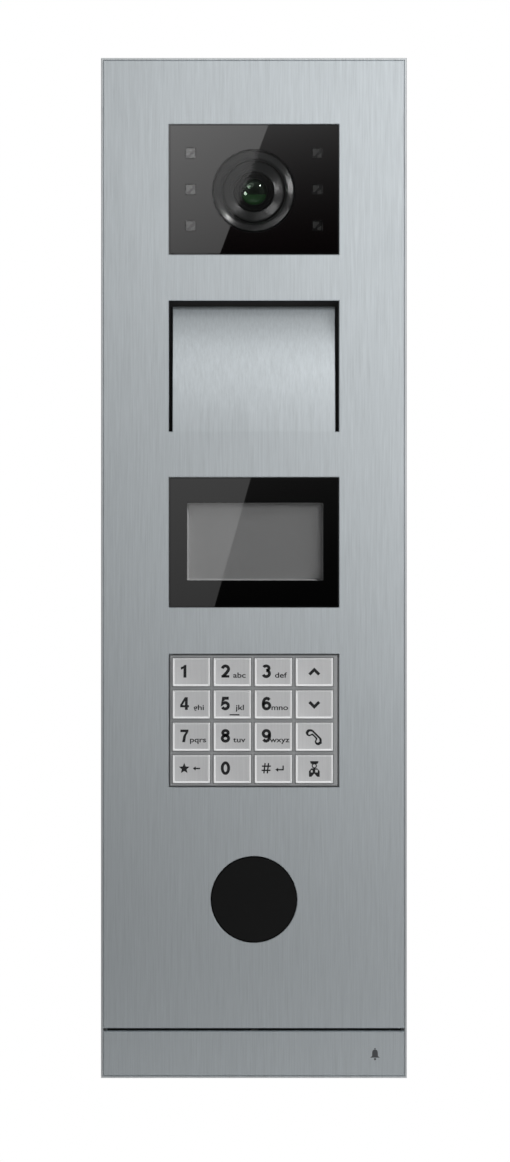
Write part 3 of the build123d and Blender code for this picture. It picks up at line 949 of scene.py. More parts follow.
@dataclass
class Print:
    """Flat print on a face that looks along -Y.

    Attributes:
        shapes: Closed outlines in millimetres, in groups; a loop inside another of its group is a hole.
        words: Small letters.
        edge_steps: Faces along each rounded edge.
        smooth_angle: Edges sharper than this many degrees stay sharp, so that flat faces mirror flat.
    """

    shapes: list[list[Loop]] = field(default_factory=list)
    words: list[Word] = field(default_factory=list)
    edge_steps: int = 3
    smooth_angle: float = 10.0

    def mesh(self, name: str, middle: Vector, depth: float, film: float, edge: float = 0.0) -> Piece:
        """Make the shapes as a film or a plate.

        Args:
            name: Name of the piece.
            middle: Place of the print's own origin.
            depth: Depth of its rear face.
            film: Its thickness.
            edge: Radius of its rounded edges.

        Returns:
            The print.
        """
        curves = [self.shape_curve(name, shape) for shape in self.shapes]
        curves += [self.word_curve(name, word) for word in self.words]
        upright = Matrix.Rotation(math.pi / 2, 4, "X")
        place = Matrix.Translation((middle.x, depth - film / 2, middle.z)) @ upright
        mesh = bmesh.new()
        graph = bpy.context.evaluated_depsgraph_get()
        for curve in curves:
            curve.data.extrude = film / 2 - edge
            curve.data.bevel_depth = edge
            curve.data.bevel_resolution = self.edge_steps
            curve.data.offset -= edge
            graph.update()
            part = bpy.data.meshes.new_from_object(curve.evaluated_get(graph))
            part.transform(place @ curve.matrix_world)
            mesh.from_mesh(part)
            bpy.data.meshes.remove(part)
            bpy.data.objects.remove(curve)
        bmesh.ops.remove_doubles(mesh, verts=mesh.verts, dist=1e-7)
        return object_from(name, mesh, self.smooth_angle)

    def shape_curve(self, name: str, shape: list[Loop]) -> Piece:
        """Draw one shape as a filled flat curve.

        Args:
            name: Start of the curve's name.
            shape: Outlines of the shape in millimetres.

        Returns:
            The curve.
        """
        data = bpy.data.curves.new(name + "_lines", "CURVE")
        data.dimensions = "2D"
        data.fill_mode = "BOTH"
        for loop in shape:
            spline = data.splines.new("POLY")
            spline.points.add(len(loop) - 1)
            for point, (x, y) in zip(spline.points, loop):
                point.co = (x * MM, y * MM, 0.0, 1.0)
            spline.use_cyclic_u = True
        return self.linked(name + "_lines", data)

    def word_curve(self, name: str, word: Word) -> Piece:
        """Draw a word as a text curve.

        Args:
            name: Start of the curve's name.
            word: Letters and their place.

        Returns:
            The curve.
        """
        data = bpy.data.curves.new(name + "_word", "FONT")
        data.body = word.text
        data.fill_mode = "BOTH"
        data.size = (word.height - 2 * word.weight) / LETTER_SHARE * MM
        data.offset = word.weight * MM
        piece = self.linked(name + "_word", data)
        piece.scale = (word.stretch, 1.0, 1.0)
        piece.location = (word.left * MM, word.base * MM, 0.0)
        bpy.context.view_layer.update()
        return piece

    @staticmethod
    def linked(name: str, data: bpy.types.Curve) -> Piece:
        """Link a curve into the scene.

        Args:
            name: Name of the curve.
            data: Its lines or letters.

        Returns:
            The linked curve.
        """
        piece = bpy.data.objects.new(name, data)
        bpy.context.scene.collection.objects.link(piece)
        return piece


@dataclass(frozen=True)
class Figures:
    """Bold figures, drawn in a box that starts at the baseline's left end."""

    width: float = 3.5
    height: float = 5.2
    pen: float = 1.22

    def shapes(self, figure: int) -> list[list[Loop]]:
        """Return the shapes of one figure.

        Args:
            figure: Which figure, from 0 to 9.

        Returns:
            Its shapes in millimetres.
        """
        pen = self.pen
        middle = self.width / 2
        if figure == 0:
            return [band((middle, 2.6), (1.3, 2.16), pen)]
        if figure == 1:
            flag = [(2.55, 0.0), (2.55, 5.2), (1.75, 5.2), (1.4, 4.75), (0.85, 4.42), (0.3, 4.3)]
            return [[flag + [(0.3, 3.3), (0.9, 3.42), (1.35, 3.7), (1.35, 0.0)]]]
        if figure == 2:
            spine = arc((middle, 3.5), (1.28, 1.26), 170.0, -25.0) + [(2.3, 2.1), (0.75, 0.5)]
            return [[stroke(spine, pen)], [[(0.1, 0.0), (3.35, 0.0), (3.35, 1.0), (0.1, 1.0)]]]
        if figure == 3:
            upper = arc((1.65, 3.85), (1.15, 0.93), 155.0, -90.0)
            lower = arc((1.65, 1.68), (1.33, 1.26), 90.0, -158.0)
            return [[stroke(upper, pen)], [stroke(lower, pen)]]
        if figure == 4:
            outer = [(1.95, 0.0), (3.1, 0.0), (3.1, 1.05), (3.6, 1.05), (3.6, 1.95), (3.1, 1.95), (3.1, 5.2)]
            outer += [(1.9, 5.2), (0.0, 2.05), (0.0, 1.05), (1.95, 1.05)]
            return [[outer, [(1.95, 1.95), (0.95, 1.95), (1.95, 3.6)]]]
        if figure == 5:
            spine = [(3.1, 4.78), (0.95, 4.78), (0.62, 2.55)] + arc((1.65, 1.7), (1.3, 1.28), 128.0, -155.0)
            return [[stroke(spine, pen)]]
        if figure == 6:
            back = [(0.46, 1.75), (0.46, 2.7), (0.62, 3.6), (1.05, 4.4), (1.75, 4.76), (2.4, 4.66)]
            back.append((2.95, 4.05))
            return [band((1.78, 1.68), (1.3, 1.26), pen), [stroke(back, pen)]]
        if figure == 7:
            outer = [(0.1, 5.15), (3.4, 5.15), (3.4, 4.3), (2.45, 2.7), (2.0, 0.0), (0.8, 0.0), (1.3, 2.6)]
            return [[outer + [(2.25, 4.1), (0.1, 4.1)]]]
        if figure == 8:
            return [band((middle, 3.85), (1.1, 0.93), pen), band((middle, 1.55), (1.3, 1.13), pen)]
        turned_six = []
        for shape in self.shapes(6):
            turned_six.append([[(self.width - x, self.height - y) for x, y in loop] for loop in shape])
        return turned_six


# ---------------------------------------------------------------------------
# Sub-assemblies
# ---------------------------------------------------------------------------


@dataclass
class SubAssembly:
    """Shared part of every sub-assembly."""

    palette: Palette

    def fit(self, piece: Piece, finish: str | None, slot: Slot, body: str, *nodes: str) -> None:
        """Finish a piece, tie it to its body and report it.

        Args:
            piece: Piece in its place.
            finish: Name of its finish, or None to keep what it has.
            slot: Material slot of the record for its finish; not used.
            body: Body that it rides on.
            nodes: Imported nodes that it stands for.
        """
        if finish is not None:
            self.palette.paint(piece, finish)
        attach(piece, body)
        if nodes:
            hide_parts(*nodes)
        LOG.info("built %s on %s with %d faces", piece.name, body, len(piece.data.polygons))


@dataclass
class PaneModule(SubAssembly):
    """Shared part of the two modules behind a dark pane."""

    plug_w: float = 68.7 * MM
    plug_h: float = 52.4 * MM
    plug_corner: float = 0.4 * MM
    plug_edge: float = 0.12 * MM
    plug_back: float = -13.2 * MM
    flange_hole_w: float = 66.0 * MM
    flange_hole_h: float = 50.0 * MM
    flange_corner: float = 1.0 * MM
    clear_thickness: float = 1.2 * MM

    def pane(self, node: str, glass: str, windows: dict[str, tuple[str, list[Loop]]]) -> None:
        """Build a pane that is black but for its clear openings.

        Args:
            node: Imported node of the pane.
            glass: Finish of its black part.
            windows: Finish and outlines of each clear piece by its name; outlines are in millimetres about
                the node's middle.
        """
        low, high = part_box(node)
        centre = middle_of(node)
        name = node.split("_")[0]
        plug = self.print_outline(self.plug_w, self.plug_h, self.plug_corner)
        openings = [loop for _, loops in windows.values() for loop in loops]
        depth = self.plug_back - low.y
        front = Print([[plug, *openings]]).mesh(name + "_plug", centre, self.plug_back, depth, self.plug_edge)
        flange = self.print_outline(high.x - low.x, high.z - low.z, self.flange_corner)
        hole = self.print_outline(self.flange_hole_w, self.flange_hole_h, self.flange_corner)
        back = Print([[flange, hole]]).mesh(name + "_flange", centre, high.y, high.y - self.plug_back)
        border = join([front, back], name + "_border")
        self.fit(border, glass, Slot.PANE, Body.FRONT.value, node)
        thick = self.clear_thickness
        for piece, (finish, loops) in windows.items():
            window = Print([[loop] for loop in loops]).mesh(piece, centre, low.y + thick, thick)
            self.fit(window, finish, Slot.PANE, Body.FRONT.value)

    @staticmethod
    def print_outline(width: float, height: float, radius: float) -> Loop:
        """Return a rectangle's outline in millimetres, from sizes in metres."""
        return rounded_rectangle(width / MM, height / MM, radius / MM, 3)


@dataclass
class FrontSheet(SubAssembly):
    """Front plate, rim and end strip."""

    mark_x: float = 49.5 * MM
    mark_z: float = -198.6 * MM
    film: float = 0.02 * MM

    def build(self) -> None:
        """Dress the sheet metal and print the bell on the end strip."""
        self.palette.dress("plate_steel", "front_plate", "end_strip")
        self.palette.dress("rim_steel", "cover_frame")
        low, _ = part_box("end_strip")
        spot = Vector((self.mark_x, 0.0, self.mark_z))
        mark = self.bell().mesh("bell_mark", spot, low.y, self.film)
        self.fit(mark, "mark_ink", Slot.PLATE, Body.STRIP.value)

    @staticmethod
    def bell() -> Print:
        """Draw a small bell.

        Returns:
            Its print, about the bell's middle.
        """
        dome = arc((0.0, 0.55), (1.15, 1.25), 180.0, 0.0, 12)
        rim = [(1.2, -0.9), (1.95, -1.55), (-1.95, -1.55), (-1.2, -0.9)]
        clapper = ring_points(0.45, (0.0, -2.15), 16)
        knob = ring_points(0.3, (0.0, 2.1), 12)
        return Print([[dome + rim], [clapper], [knob]])


@dataclass
class CameraModule(PaneModule):
    """Camera behind its pane: funnel ring, ball, lens and lamps."""

    funnel_out: float = 16.9 * MM
    funnel_in: float = 12.85 * MM
    funnel_lip: float = -8.4 * MM
    funnel_back: float = 13.6 * MM
    ball_radius: float = 14.0 * MM
    ball_pivot: float = -2.0 * MM
    ball_rear_hole: float = 6.0 * MM
    barrel_seat: float = 1.0 * MM
    bore: float = 8.2 * MM
    pin_radius: float = 0.9 * MM
    pin_chamfer: float = 0.15 * MM
    pin_length: float = 4.2 * MM
    pin_reach: float = 16.9 * MM
    barrel_radius: float = 8.0 * MM
    barrel_bore: float = 2.5 * MM
    barrel_floor: float = -4.6 * MM
    thread_pitch: float = 0.5 * MM
    thread_depth: float = 0.25 * MM
    lens_radius: float = 5.4 * MM
    lens_edge: float = -5.6 * MM
    lamp: float = 3.6 * MM
    lamp_face: float = 0.12 * MM
    lamp_window: float = 4.1 * MM
    opening: float = 17.0 * MM

    def build(self) -> None:
        """Dress the module and build its turned pieces."""
        self.pane("camera_window", "camera_glass", self.windows())
        self.palette.dress("black_board", "camera_board")
        self.palette.dress("housing_plastic", "camera_housing")
        self.palette.dress("barrel_black", "camera_yoke")
        self.palette.dress("green_board", "sensor_board")
        self.funnel()
        self.ball()
        self.barrel()
        self.lens()
        self.lamps()

    def windows(self) -> dict[str, tuple[str, list[Loop]]]:
        """Place the clear disc before the lens and the clear squares before the lamps.

        Returns:
            Finish and outlines of each clear piece by its name.
        """
        middle = middle_of("camera_window")
        lens = middle_of("camera_socket") - middle
        disc = ring_points(self.opening / MM, (lens.x / MM, lens.z / MM), 96)
        side = self.lamp_window / MM
        square = rounded_rectangle(side, side, 0.4)
        squares = [moved(square, (x - middle.x) / MM, (z - middle.z) / MM) for x, z in self.lamp_places()]
        return {"camera_clear": ("camera_pane", [disc]), "lamp_clear": ("clear_pane", squares)}

    def lamp_places(self) -> Loop:
        """Place the six lamps.

        Returns:
            Their middles in X and Z, column by column.
        """
        low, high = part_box("ir_leds")
        half = self.lamp / 2
        rows = (low.z + half, (low.z + high.z) / 2, high.z - half)
        return [(x, z) for x in (low.x + half, high.x - half) for z in rows]

    def funnel(self) -> None:
        """Build the funnel ring in front of the ball."""
        low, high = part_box("camera_socket")
        middle = middle_of("camera_socket")
        board_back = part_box("camera_board")[1].y
        front = low.y
        out = self.funnel_out
        rim = high.x - middle.x
        corners = [
            (out, board_back),
            (out, front + 0.5 * MM),
            (out - 0.3 * MM, front + 0.1 * MM),
            (out - 0.7 * MM, front),
            (out - 3.0 * MM, front + 1.05 * MM),
            (self.funnel_in + 0.1 * MM, front + 2.1 * MM),
            (self.funnel_in, self.funnel_lip),
            (self.funnel_back, high.y),
            (rim, high.y),
            (rim, board_back),
            (out, board_back),
        ]
        ring = lathe("funnel_ring", rounded_corners(corners, 0.35 * MM), middle)
        self.fit(ring, "socket_black", Slot.CAMERA, Body.FRONT.value, "camera_socket")

    def ball(self) -> None:
        """Build the camera's ball with its dish and its pivot pins."""
        low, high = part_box("camera_ball")
        front, rear = low.y, high.y
        radius = self.ball_radius
        pivot = self.ball_pivot
        rim = math.sqrt(radius**2 - (front - pivot) ** 2)
        dish = [(self.ball_rear_hole, rear), (self.ball_rear_hole, self.barrel_seat)]
        dish.append((self.bore, self.barrel_seat))
        dish += [(self.bore, front + 1.6 * MM), (self.bore + 0.3 * MM, front + 1.15 * MM)]
        dish += [(rim - 0.5 * MM, front), (rim, front)]
        profile = rounded_corners(dish, 0.3 * MM)
        first = math.acos((pivot - front) / radius)
        last = math.acos((pivot - rear) / radius)
        steps = 24
        for step in range(1, steps + 1):
            angle = first + (last - first) * step / steps
            profile.append((radius * math.sin(angle), pivot - radius * math.cos(angle)))
        profile.append(profile[0])
        centre = middle_of("camera_ball")
        ball = lathe("ball_body", profile, centre)
        whole = join([ball, *self.pins(centre)], "camera_ball_body")
        self.fit(whole, "socket_black", Slot.CAMERA, Body.BALL.value, "camera_ball")

    def pins(self, centre: Vector) -> list[Piece]:
        """Build the ball's two pivot pins.

        Args:
            centre: Middle of the ball.

        Returns:
            The left and the right pin.
        """
        radius = self.pin_radius
        tip = self.pin_chamfer
        profile = [(0, 0), (radius - tip, 0), (radius, tip), (radius, self.pin_length), (0, self.pin_length)]
        pins = []
        for side in (-1, 1):
            pin = lathe("pin", profile, Vector((0, 0, 0)), 32)
            turn = Matrix.Rotation(math.radians(90 * side), 4, "Z")
            place = Matrix.Translation((centre.x + side * self.pin_reach, self.ball_pivot, centre.z))
            pin.data.transform(place @ turn)
            pins.append(pin)
        return pins

    def barrel(self) -> None:
        """Build the threaded lens barrel."""
        low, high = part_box("lens_barrel")
        front = low.y
        floor = self.barrel_floor
        crest = self.barrel_radius
        root = crest - self.thread_depth
        profile = [(self.barrel_bore, high.y), (self.barrel_bore, floor), (5.45 * MM, floor)]
        profile += [(5.5 * MM, front + 0.2 * MM), (5.7 * MM, front), (6.3 * MM, front)]
        profile += [(6.5 * MM, front + 0.25 * MM), (7.2 * MM, front + 0.25 * MM)]
        profile += [(7.6 * MM, front + 0.1 * MM), (crest, front + 0.5 * MM)]
        depth = front + 0.8 * MM
        while depth < high.y - 0.6 * MM:
            profile += [(crest, depth), (root, depth + 0.2 * MM), (crest, depth + 0.4 * MM)]
            depth += self.thread_pitch
        profile += [(crest, high.y), (self.barrel_bore, high.y)]
        barrel = lathe("threaded_barrel", profile, middle_of("lens_barrel"))
        self.fit(barrel, "barrel_black", Slot.CAMERA, Body.BALL.value, "lens_barrel")

    def lens(self) -> None:
        """Build the domed front lens."""
        low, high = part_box("lens_glass")
        radius = self.lens_radius
        edge = self.lens_edge
        dome = edge - low.y
        curve = (radius**2 + dome**2) / (2 * dome)
        profile = [(0.0, high.y), (radius - 0.1 * MM, high.y), (radius, high.y - 0.1 * MM), (radius, edge)]
        steps = 16
        for step in range(1, steps + 1):
            reach = radius * (1 - step / steps)
            profile.append((reach, low.y + curve - math.sqrt(curve**2 - reach**2)))
        glass = lathe("front_lens", profile, middle_of("lens_glass"))
        self.fit(glass, "coated_lens", Slot.LENS, Body.BALL.value, "lens_glass")

    def lamps(self) -> None:
        """Build the six infrared lamps, each with its two pads."""
        low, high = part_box("ir_leds")
        pieces = []
        for x, z in self.lamp_places():
            pieces += self.lamp_pieces(Vector((x, 0, z)), low.y, high.y)
        self.fit(join(pieces, "infrared_lamps"), None, Slot.LAMP, Body.FRONT.value, "ir_leds")

    def lamp_pieces(self, centre: Vector, front: float, back: float) -> list[Piece]:
        """Build one lamp.

        Args:
            centre: Middle of the lamp.
            front: Depth of its pads' front.
            back: Depth of its back.

        Returns:
            Its body and its two pads, which are one piece.
        """
        face = front + self.lamp_face
        outline = rounded_rectangle(self.lamp, self.lamp, 0.25 * MM)
        inner = rounded_rectangle(self.lamp - 0.2 * MM, self.lamp - 0.2 * MM, 0.2 * MM)
        body = loft("lamp_body", [(outline, back), (outline, face + 0.1 * MM), (inner, face)], centre)
        self.palette.paint(body, "lamp_dark")
        large = [(-1.75, 1.75), (0.75, 1.75), (0.75, 1.0), (0.1, 0.45)]
        large += [(-0.5, -0.35), (-0.9, -0.95), (-1.75, -0.95)]
        small = [(1.75, 0.15), (1.75, -1.75), (0.1, -1.75), (0.1, -0.9), (0.9, -0.35)]
        pads = Print([[large], [small]]).mesh("lamp_pads", centre, face, self.lamp_face)
        self.palette.paint(pads, "lamp_pale")
        return [body, pads]


@dataclass
class DisplayModule(PaneModule):
    """Display behind a pane that is black but for its middle."""

    window_w: float = 55.6 * MM
    window_h: float = 31.7 * MM
    window_x: float = 0.5 * MM
    window_z: float = 0.3 * MM
    corner: float = 0.3 * MM
    frame_front: float = -14.5 * MM
    frame_back: float = -11.05 * MM
    frame_edge: float = 1.2 * MM
    bevel: float = 0.7 * MM

    def build(self) -> None:
        """Dress the module and build its pane and its frame."""
        self.palette.dress("display_face", "lcd_panel")
        self.palette.dress("green_board", "display_board")
        self.palette.dress("housing_plastic", "display_housing")
        opening = rounded_rectangle(self.window_w / MM, self.window_h / MM, self.corner / MM)
        opening = moved(opening, self.window_x / MM, self.window_z / MM)
        self.pane("display_window", "display_glass", {"display_clear": ("clear_pane", [opening])})
        self.frame()

    def frame(self) -> None:
        """Build the sloping frame between the pane and the display."""
        levels = (
            (0.02 * MM, self.frame_front),
            (-2 * self.bevel, self.frame_back - self.frame_edge),
            (-2 * self.bevel, self.frame_back),
            (1.6 * MM, self.frame_back),
            (1.6 * MM, self.frame_front + 1 * MM),
        )
        rings = []
        for growth, depth in levels:
            outline = rounded_rectangle(self.window_w + growth, self.window_h + growth, self.corner)
            rings.append((outline, depth))
        middle = middle_of("display_window") + Vector((self.window_x, 0.0, self.window_z))
        piece = loft("display_frame", rings, middle, hollow=True)
        self.fit(piece, "frame_grey", Slot.DISPLAY, Body.FRONT.value)


@dataclass
class Keypad(SubAssembly):
    """Grid, mat and sixteen printed keys."""

    cap_w: float = 15.3 * MM
    cap_h: float = 11.6 * MM
    bevel: float = 0.30 * MM
    rim: float = 0.50 * MM
    dish: float = 0.16 * MM
    corner: float = 0.35 * MM
    flange: float = 0.8 * MM
    stem_radius: float = 2.0 * MM
    setback: float = 0.01 * MM
    ink: float = 0.018 * MM
    figure_left: float = -4.55
    figure_base: float = -2.25
    letter_height: float = 1.75
    letters_right: float = 5.3

    def build(self) -> None:
        """Dress the grid and build every key."""
        self.palette.dress("bezel_grey", "keypad_bezel")
        self.palette.dress("silicone", "keypad_mat")
        self.palette.dress("green_board", "keypad_board")
        self.palette.dress("housing_plastic", "keypad_housing")
        for name, print_on_key in self.legends().items():
            self.key(name, print_on_key)

    def key(self, name: str, legend: Print) -> None:
        """Build one key and its legend.

        Args:
            name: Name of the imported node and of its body.
            legend: What is printed on it.
        """
        low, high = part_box(name)
        centre = (low + high) / 2
        peak = low.y + self.setback
        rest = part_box("keypad_bezel")[1].y
        flange_back = rest + self.flange
        wide = rounded_rectangle(high.x - low.x, high.z - low.z, 0.3 * MM)
        rings = [(wide, flange_back), (wide, rest), (self.cap_outline(0.0), rest)]
        steps = 5
        for step in range(steps + 1):
            angle = math.pi / 2 * step / steps
            depth = peak + self.bevel * 0.8 * (1 - math.sin(angle))
            rings.append((self.cap_outline(self.bevel * (1 - math.cos(angle))), depth))
        for share in (0.25, 0.75, 1.0):
            depth = peak + self.dish * (1 - math.cos(math.pi * share)) / 2
            rings.append((self.cap_outline(self.bevel + self.rim * share), depth))
        cap = loft("cap", rings, centre)
        self.polish(cap, centre, peak)
        radius = self.stem_radius
        tip = 0.2 * MM
        profile = [(0, flange_back), (radius, flange_back), (radius, high.y - tip), (radius - tip, high.y)]
        stem = lathe("stem", [*profile, (0, high.y)], centre, 32)
        self.palette.paint(stem, "key_steel")
        whole = join([cap, stem], "cap_" + name)
        self.fit(whole, None, Slot.KEY, name, name)
        ink = legend.mesh("legend_" + name, centre, peak + self.dish, self.ink)
        self.fit(ink, "key_ink", Slot.KEY, name)

    def cap_outline(self, inset: float) -> Loop:
        """Return the cap's outline, set in on every side."""
        return rounded_rectangle(self.cap_w - 2 * inset, self.cap_h - 2 * inset, self.corner)

    def polish(self, cap: Piece, centre: Vector, peak: float) -> None:
        """Dress a cap, with a painted highlight on its bevel at its sides and its foot.

        Args:
            cap: Cap in its place.
            centre: Middle of the cap.
            peak: Depth of the cap's highest point.
        """
        self.palette.paint(cap, "key_steel")
        cap.data.materials.append(self.palette.materials["key_painted_highlight"])
        side = self.cap_w / 2 - self.bevel - self.rim
        foot = centre.z - self.cap_h / 2 + self.bevel + self.rim
        # Painted highlight: bevel faces at the sides and the foot take the near-white finish, the top bevel
        # does not.
        for face in cap.data.polygons:
            takes_painted_highlight = abs(face.center.x - centre.x) > side or face.center.z < foot
            if takes_painted_highlight and face.center.y < peak + self.bevel:
                face.material_index = 1

    def legends(self) -> dict[str, Print]:
        """Draw what is printed on the keys.

        Returns:
            The print of each key by its node's name.
        """
        letters = {2: "abc", 3: "def", 4: "ghi", 5: "jkl", 6: "mno", 7: "pqrs", 8: "tuv", 9: "wxyz"}
        widths = {2: 5.0, 3: 4.7, 4: 4.4, 5: 3.9, 6: 6.2, 7: 6.0, 8: 4.9, 9: 6.7}
        figures = Figures()
        prints = {}
        for figure in range(10):
            shapes = []
            for shape in figures.shapes(figure):
                shapes.append([moved(loop, self.figure_left, self.figure_base) for loop in shape])
            words = []
            if figure in letters:
                left = self.letters_right - widths[figure]
                words.append(Word(letters[figure], left, self.figure_base, self.letter_height))
            prints[f"key_{figure}"] = Print(shapes, words)
        home_bar = [(-1.1, -4.5), (2.9, -4.5), (2.9, -4.0), (-1.1, -4.0)]
        prints["key_5"].shapes.append([home_bar])
        prints["key_star"] = Print([[moved(star(2.3), -2.9, 0.2)], self.arrow(2.2, 0.2)])
        prints["key_hash"] = Print([*self.hash_sign(-2.9, 0.3), self.return_arrow(2.6, 0.2)])
        prints["key_up"] = Print([[stroke([(-2.0, -1.0), (0.0, 1.0), (2.0, -1.0)], 1.2)]])
        prints["key_down"] = Print([[stroke([(-2.0, 1.0), (0.0, -1.0), (2.0, 1.0)], 1.2)]])
        prints["key_call"] = Print([self.handset()])
        prints["key_guard"] = Print(self.guard())
        return prints

    @staticmethod
    def hash_sign(x: float, z: float) -> list[list[Loop]]:
        """Draw the number sign, as four strokes.

        Args:
            x: Place of its middle along X.
            z: Place of its middle along Z.

        Returns:
            Its shapes.
        """
        lines = [[(-0.95, -2.1), (-0.45, 2.1)], [(0.45, -2.1), (0.95, 2.1)]]
        lines += [[(-1.9, -0.85), (1.75, -0.85)], [(-1.75, 0.85), (1.9, 0.85)]]
        return [[moved(stroke(line, 0.55), x, z)] for line in lines]

    @staticmethod
    def arrow(x: float, z: float) -> list[Loop]:
        """Return a small arrow to the left."""
        head = [(-0.4, -0.28), (-0.4, -0.85), (-1.6, 0.0), (-0.4, 0.85), (-0.4, 0.28)]
        return [moved([*head, (1.4, 0.28), (1.4, -0.28)], x, z)]

    @staticmethod
    def return_arrow(x: float, z: float) -> list[Loop]:
        """Draw a small arrow that turns down and to the left.

        Args:
            x: Place of its middle along X.
            z: Place of its middle along Z.

        Returns:
            Its outline.
        """
        head = [(-0.6, -0.78), (-0.6, -1.35), (-1.8, -0.5), (-0.6, 0.35), (-0.6, -0.22)]
        shaft = [(1.15, -0.22), (1.15, 1.2), (1.7, 1.2), (1.7, -0.78)]
        return [moved(head + shaft, x, z)]

    @staticmethod
    def handset() -> list[Loop]:
        """Draw the outline of a telephone handset, set on the slant.

        Returns:
            Its outer and its inner outline.
        """
        grown = 1.14
        outer = [(1.0, -0.1), (1.3, -1.2), (2.3, -1.6), (3.3, -1.2), (3.6, 0.2), (2.4, 1.35)]
        inner = [(1.5, 0.5), (1.85, -0.75), (2.3, -1.0), (2.75, -0.8), (2.95, 0.1), (2.15, 0.8)]
        loops = []
        for half, scale, radius in ((outer, grown, 0.6), (inner, 1.0, 0.4)):
            right = [(x * scale, z * scale) for x, z in half]
            left = [(-x, z) for x, z in right[::-1]]
            ring = left[1:] + right + left[:2]
            loop = rounded_corners(ring, radius, 3)[:-1]
            loops.append(turned([(x, -z) for x, z in loop], 135))
        return loops

    @staticmethod
    def guard() -> list[list[Loop]]:
        """Draw a small figure with a cap and a coat.

        Returns:
            Its shapes.
        """
        cap = [(-1.5, 2.3), (-1.75, 3.2), (1.75, 3.2), (1.5, 2.3), (1.1, 2.05), (-1.1, 2.05)]
        face = band((0.0, 1.3), (0.85, 0.85), 0.45)
        coat = [(-2.2, -3.2), (-2.2, -0.9), (-1.2, 0.25), (1.2, 0.25), (2.2, -0.9), (2.2, -3.2), (1.2, -3.2)]
        coat += [(0.0, -1.9), (-1.2, -3.2)]
        badge = [(0.4, -0.3), (1.4, -0.3), (1.4, -1.4), (0.4, -1.4)]
        button = [(-1.4, -0.5), (-0.7, -0.5), (-0.7, -1.4), (-1.4, -1.4)]
        return [[cap], face, [coat, badge, button]]


@dataclass
class PlainModules(SubAssembly):
    """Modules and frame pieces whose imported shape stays."""

    def build(self) -> None:
        """Dress the reader, the audio module, the chassis and the lock."""
        dress = self.palette.dress
        dress("reader_black", "reader_disc")
        dress("green_board", "reader_board", "main_board")
        dress("housing_plastic", "reader_housing", "audio_housing")
        dress("zinc_plate", "speaker_frame", "chassis_fasteners", "strip_clips", "lock_washer")
        dress("cone_paper", "speaker_cone")
        dress("ferrite", "speaker_magnet")
        dress("aluminium_can", "microphone")
        dress("terminal_green", "terminal_block")
        dress("chassis_coat", "chassis")
        dress("rubber", "window_gaskets", "wall_gasket", "microphone_boot", "cable_grommets")
        dress("lead_grey", "link_leads")
        dress("brass", "earth_terminal", "lock_insert")
        dress("stainless", "lock_screw")
        dress("box_plastic", "back_box")


# ---------------------------------------------------------------------------
# Studio
# ---------------------------------------------------------------------------


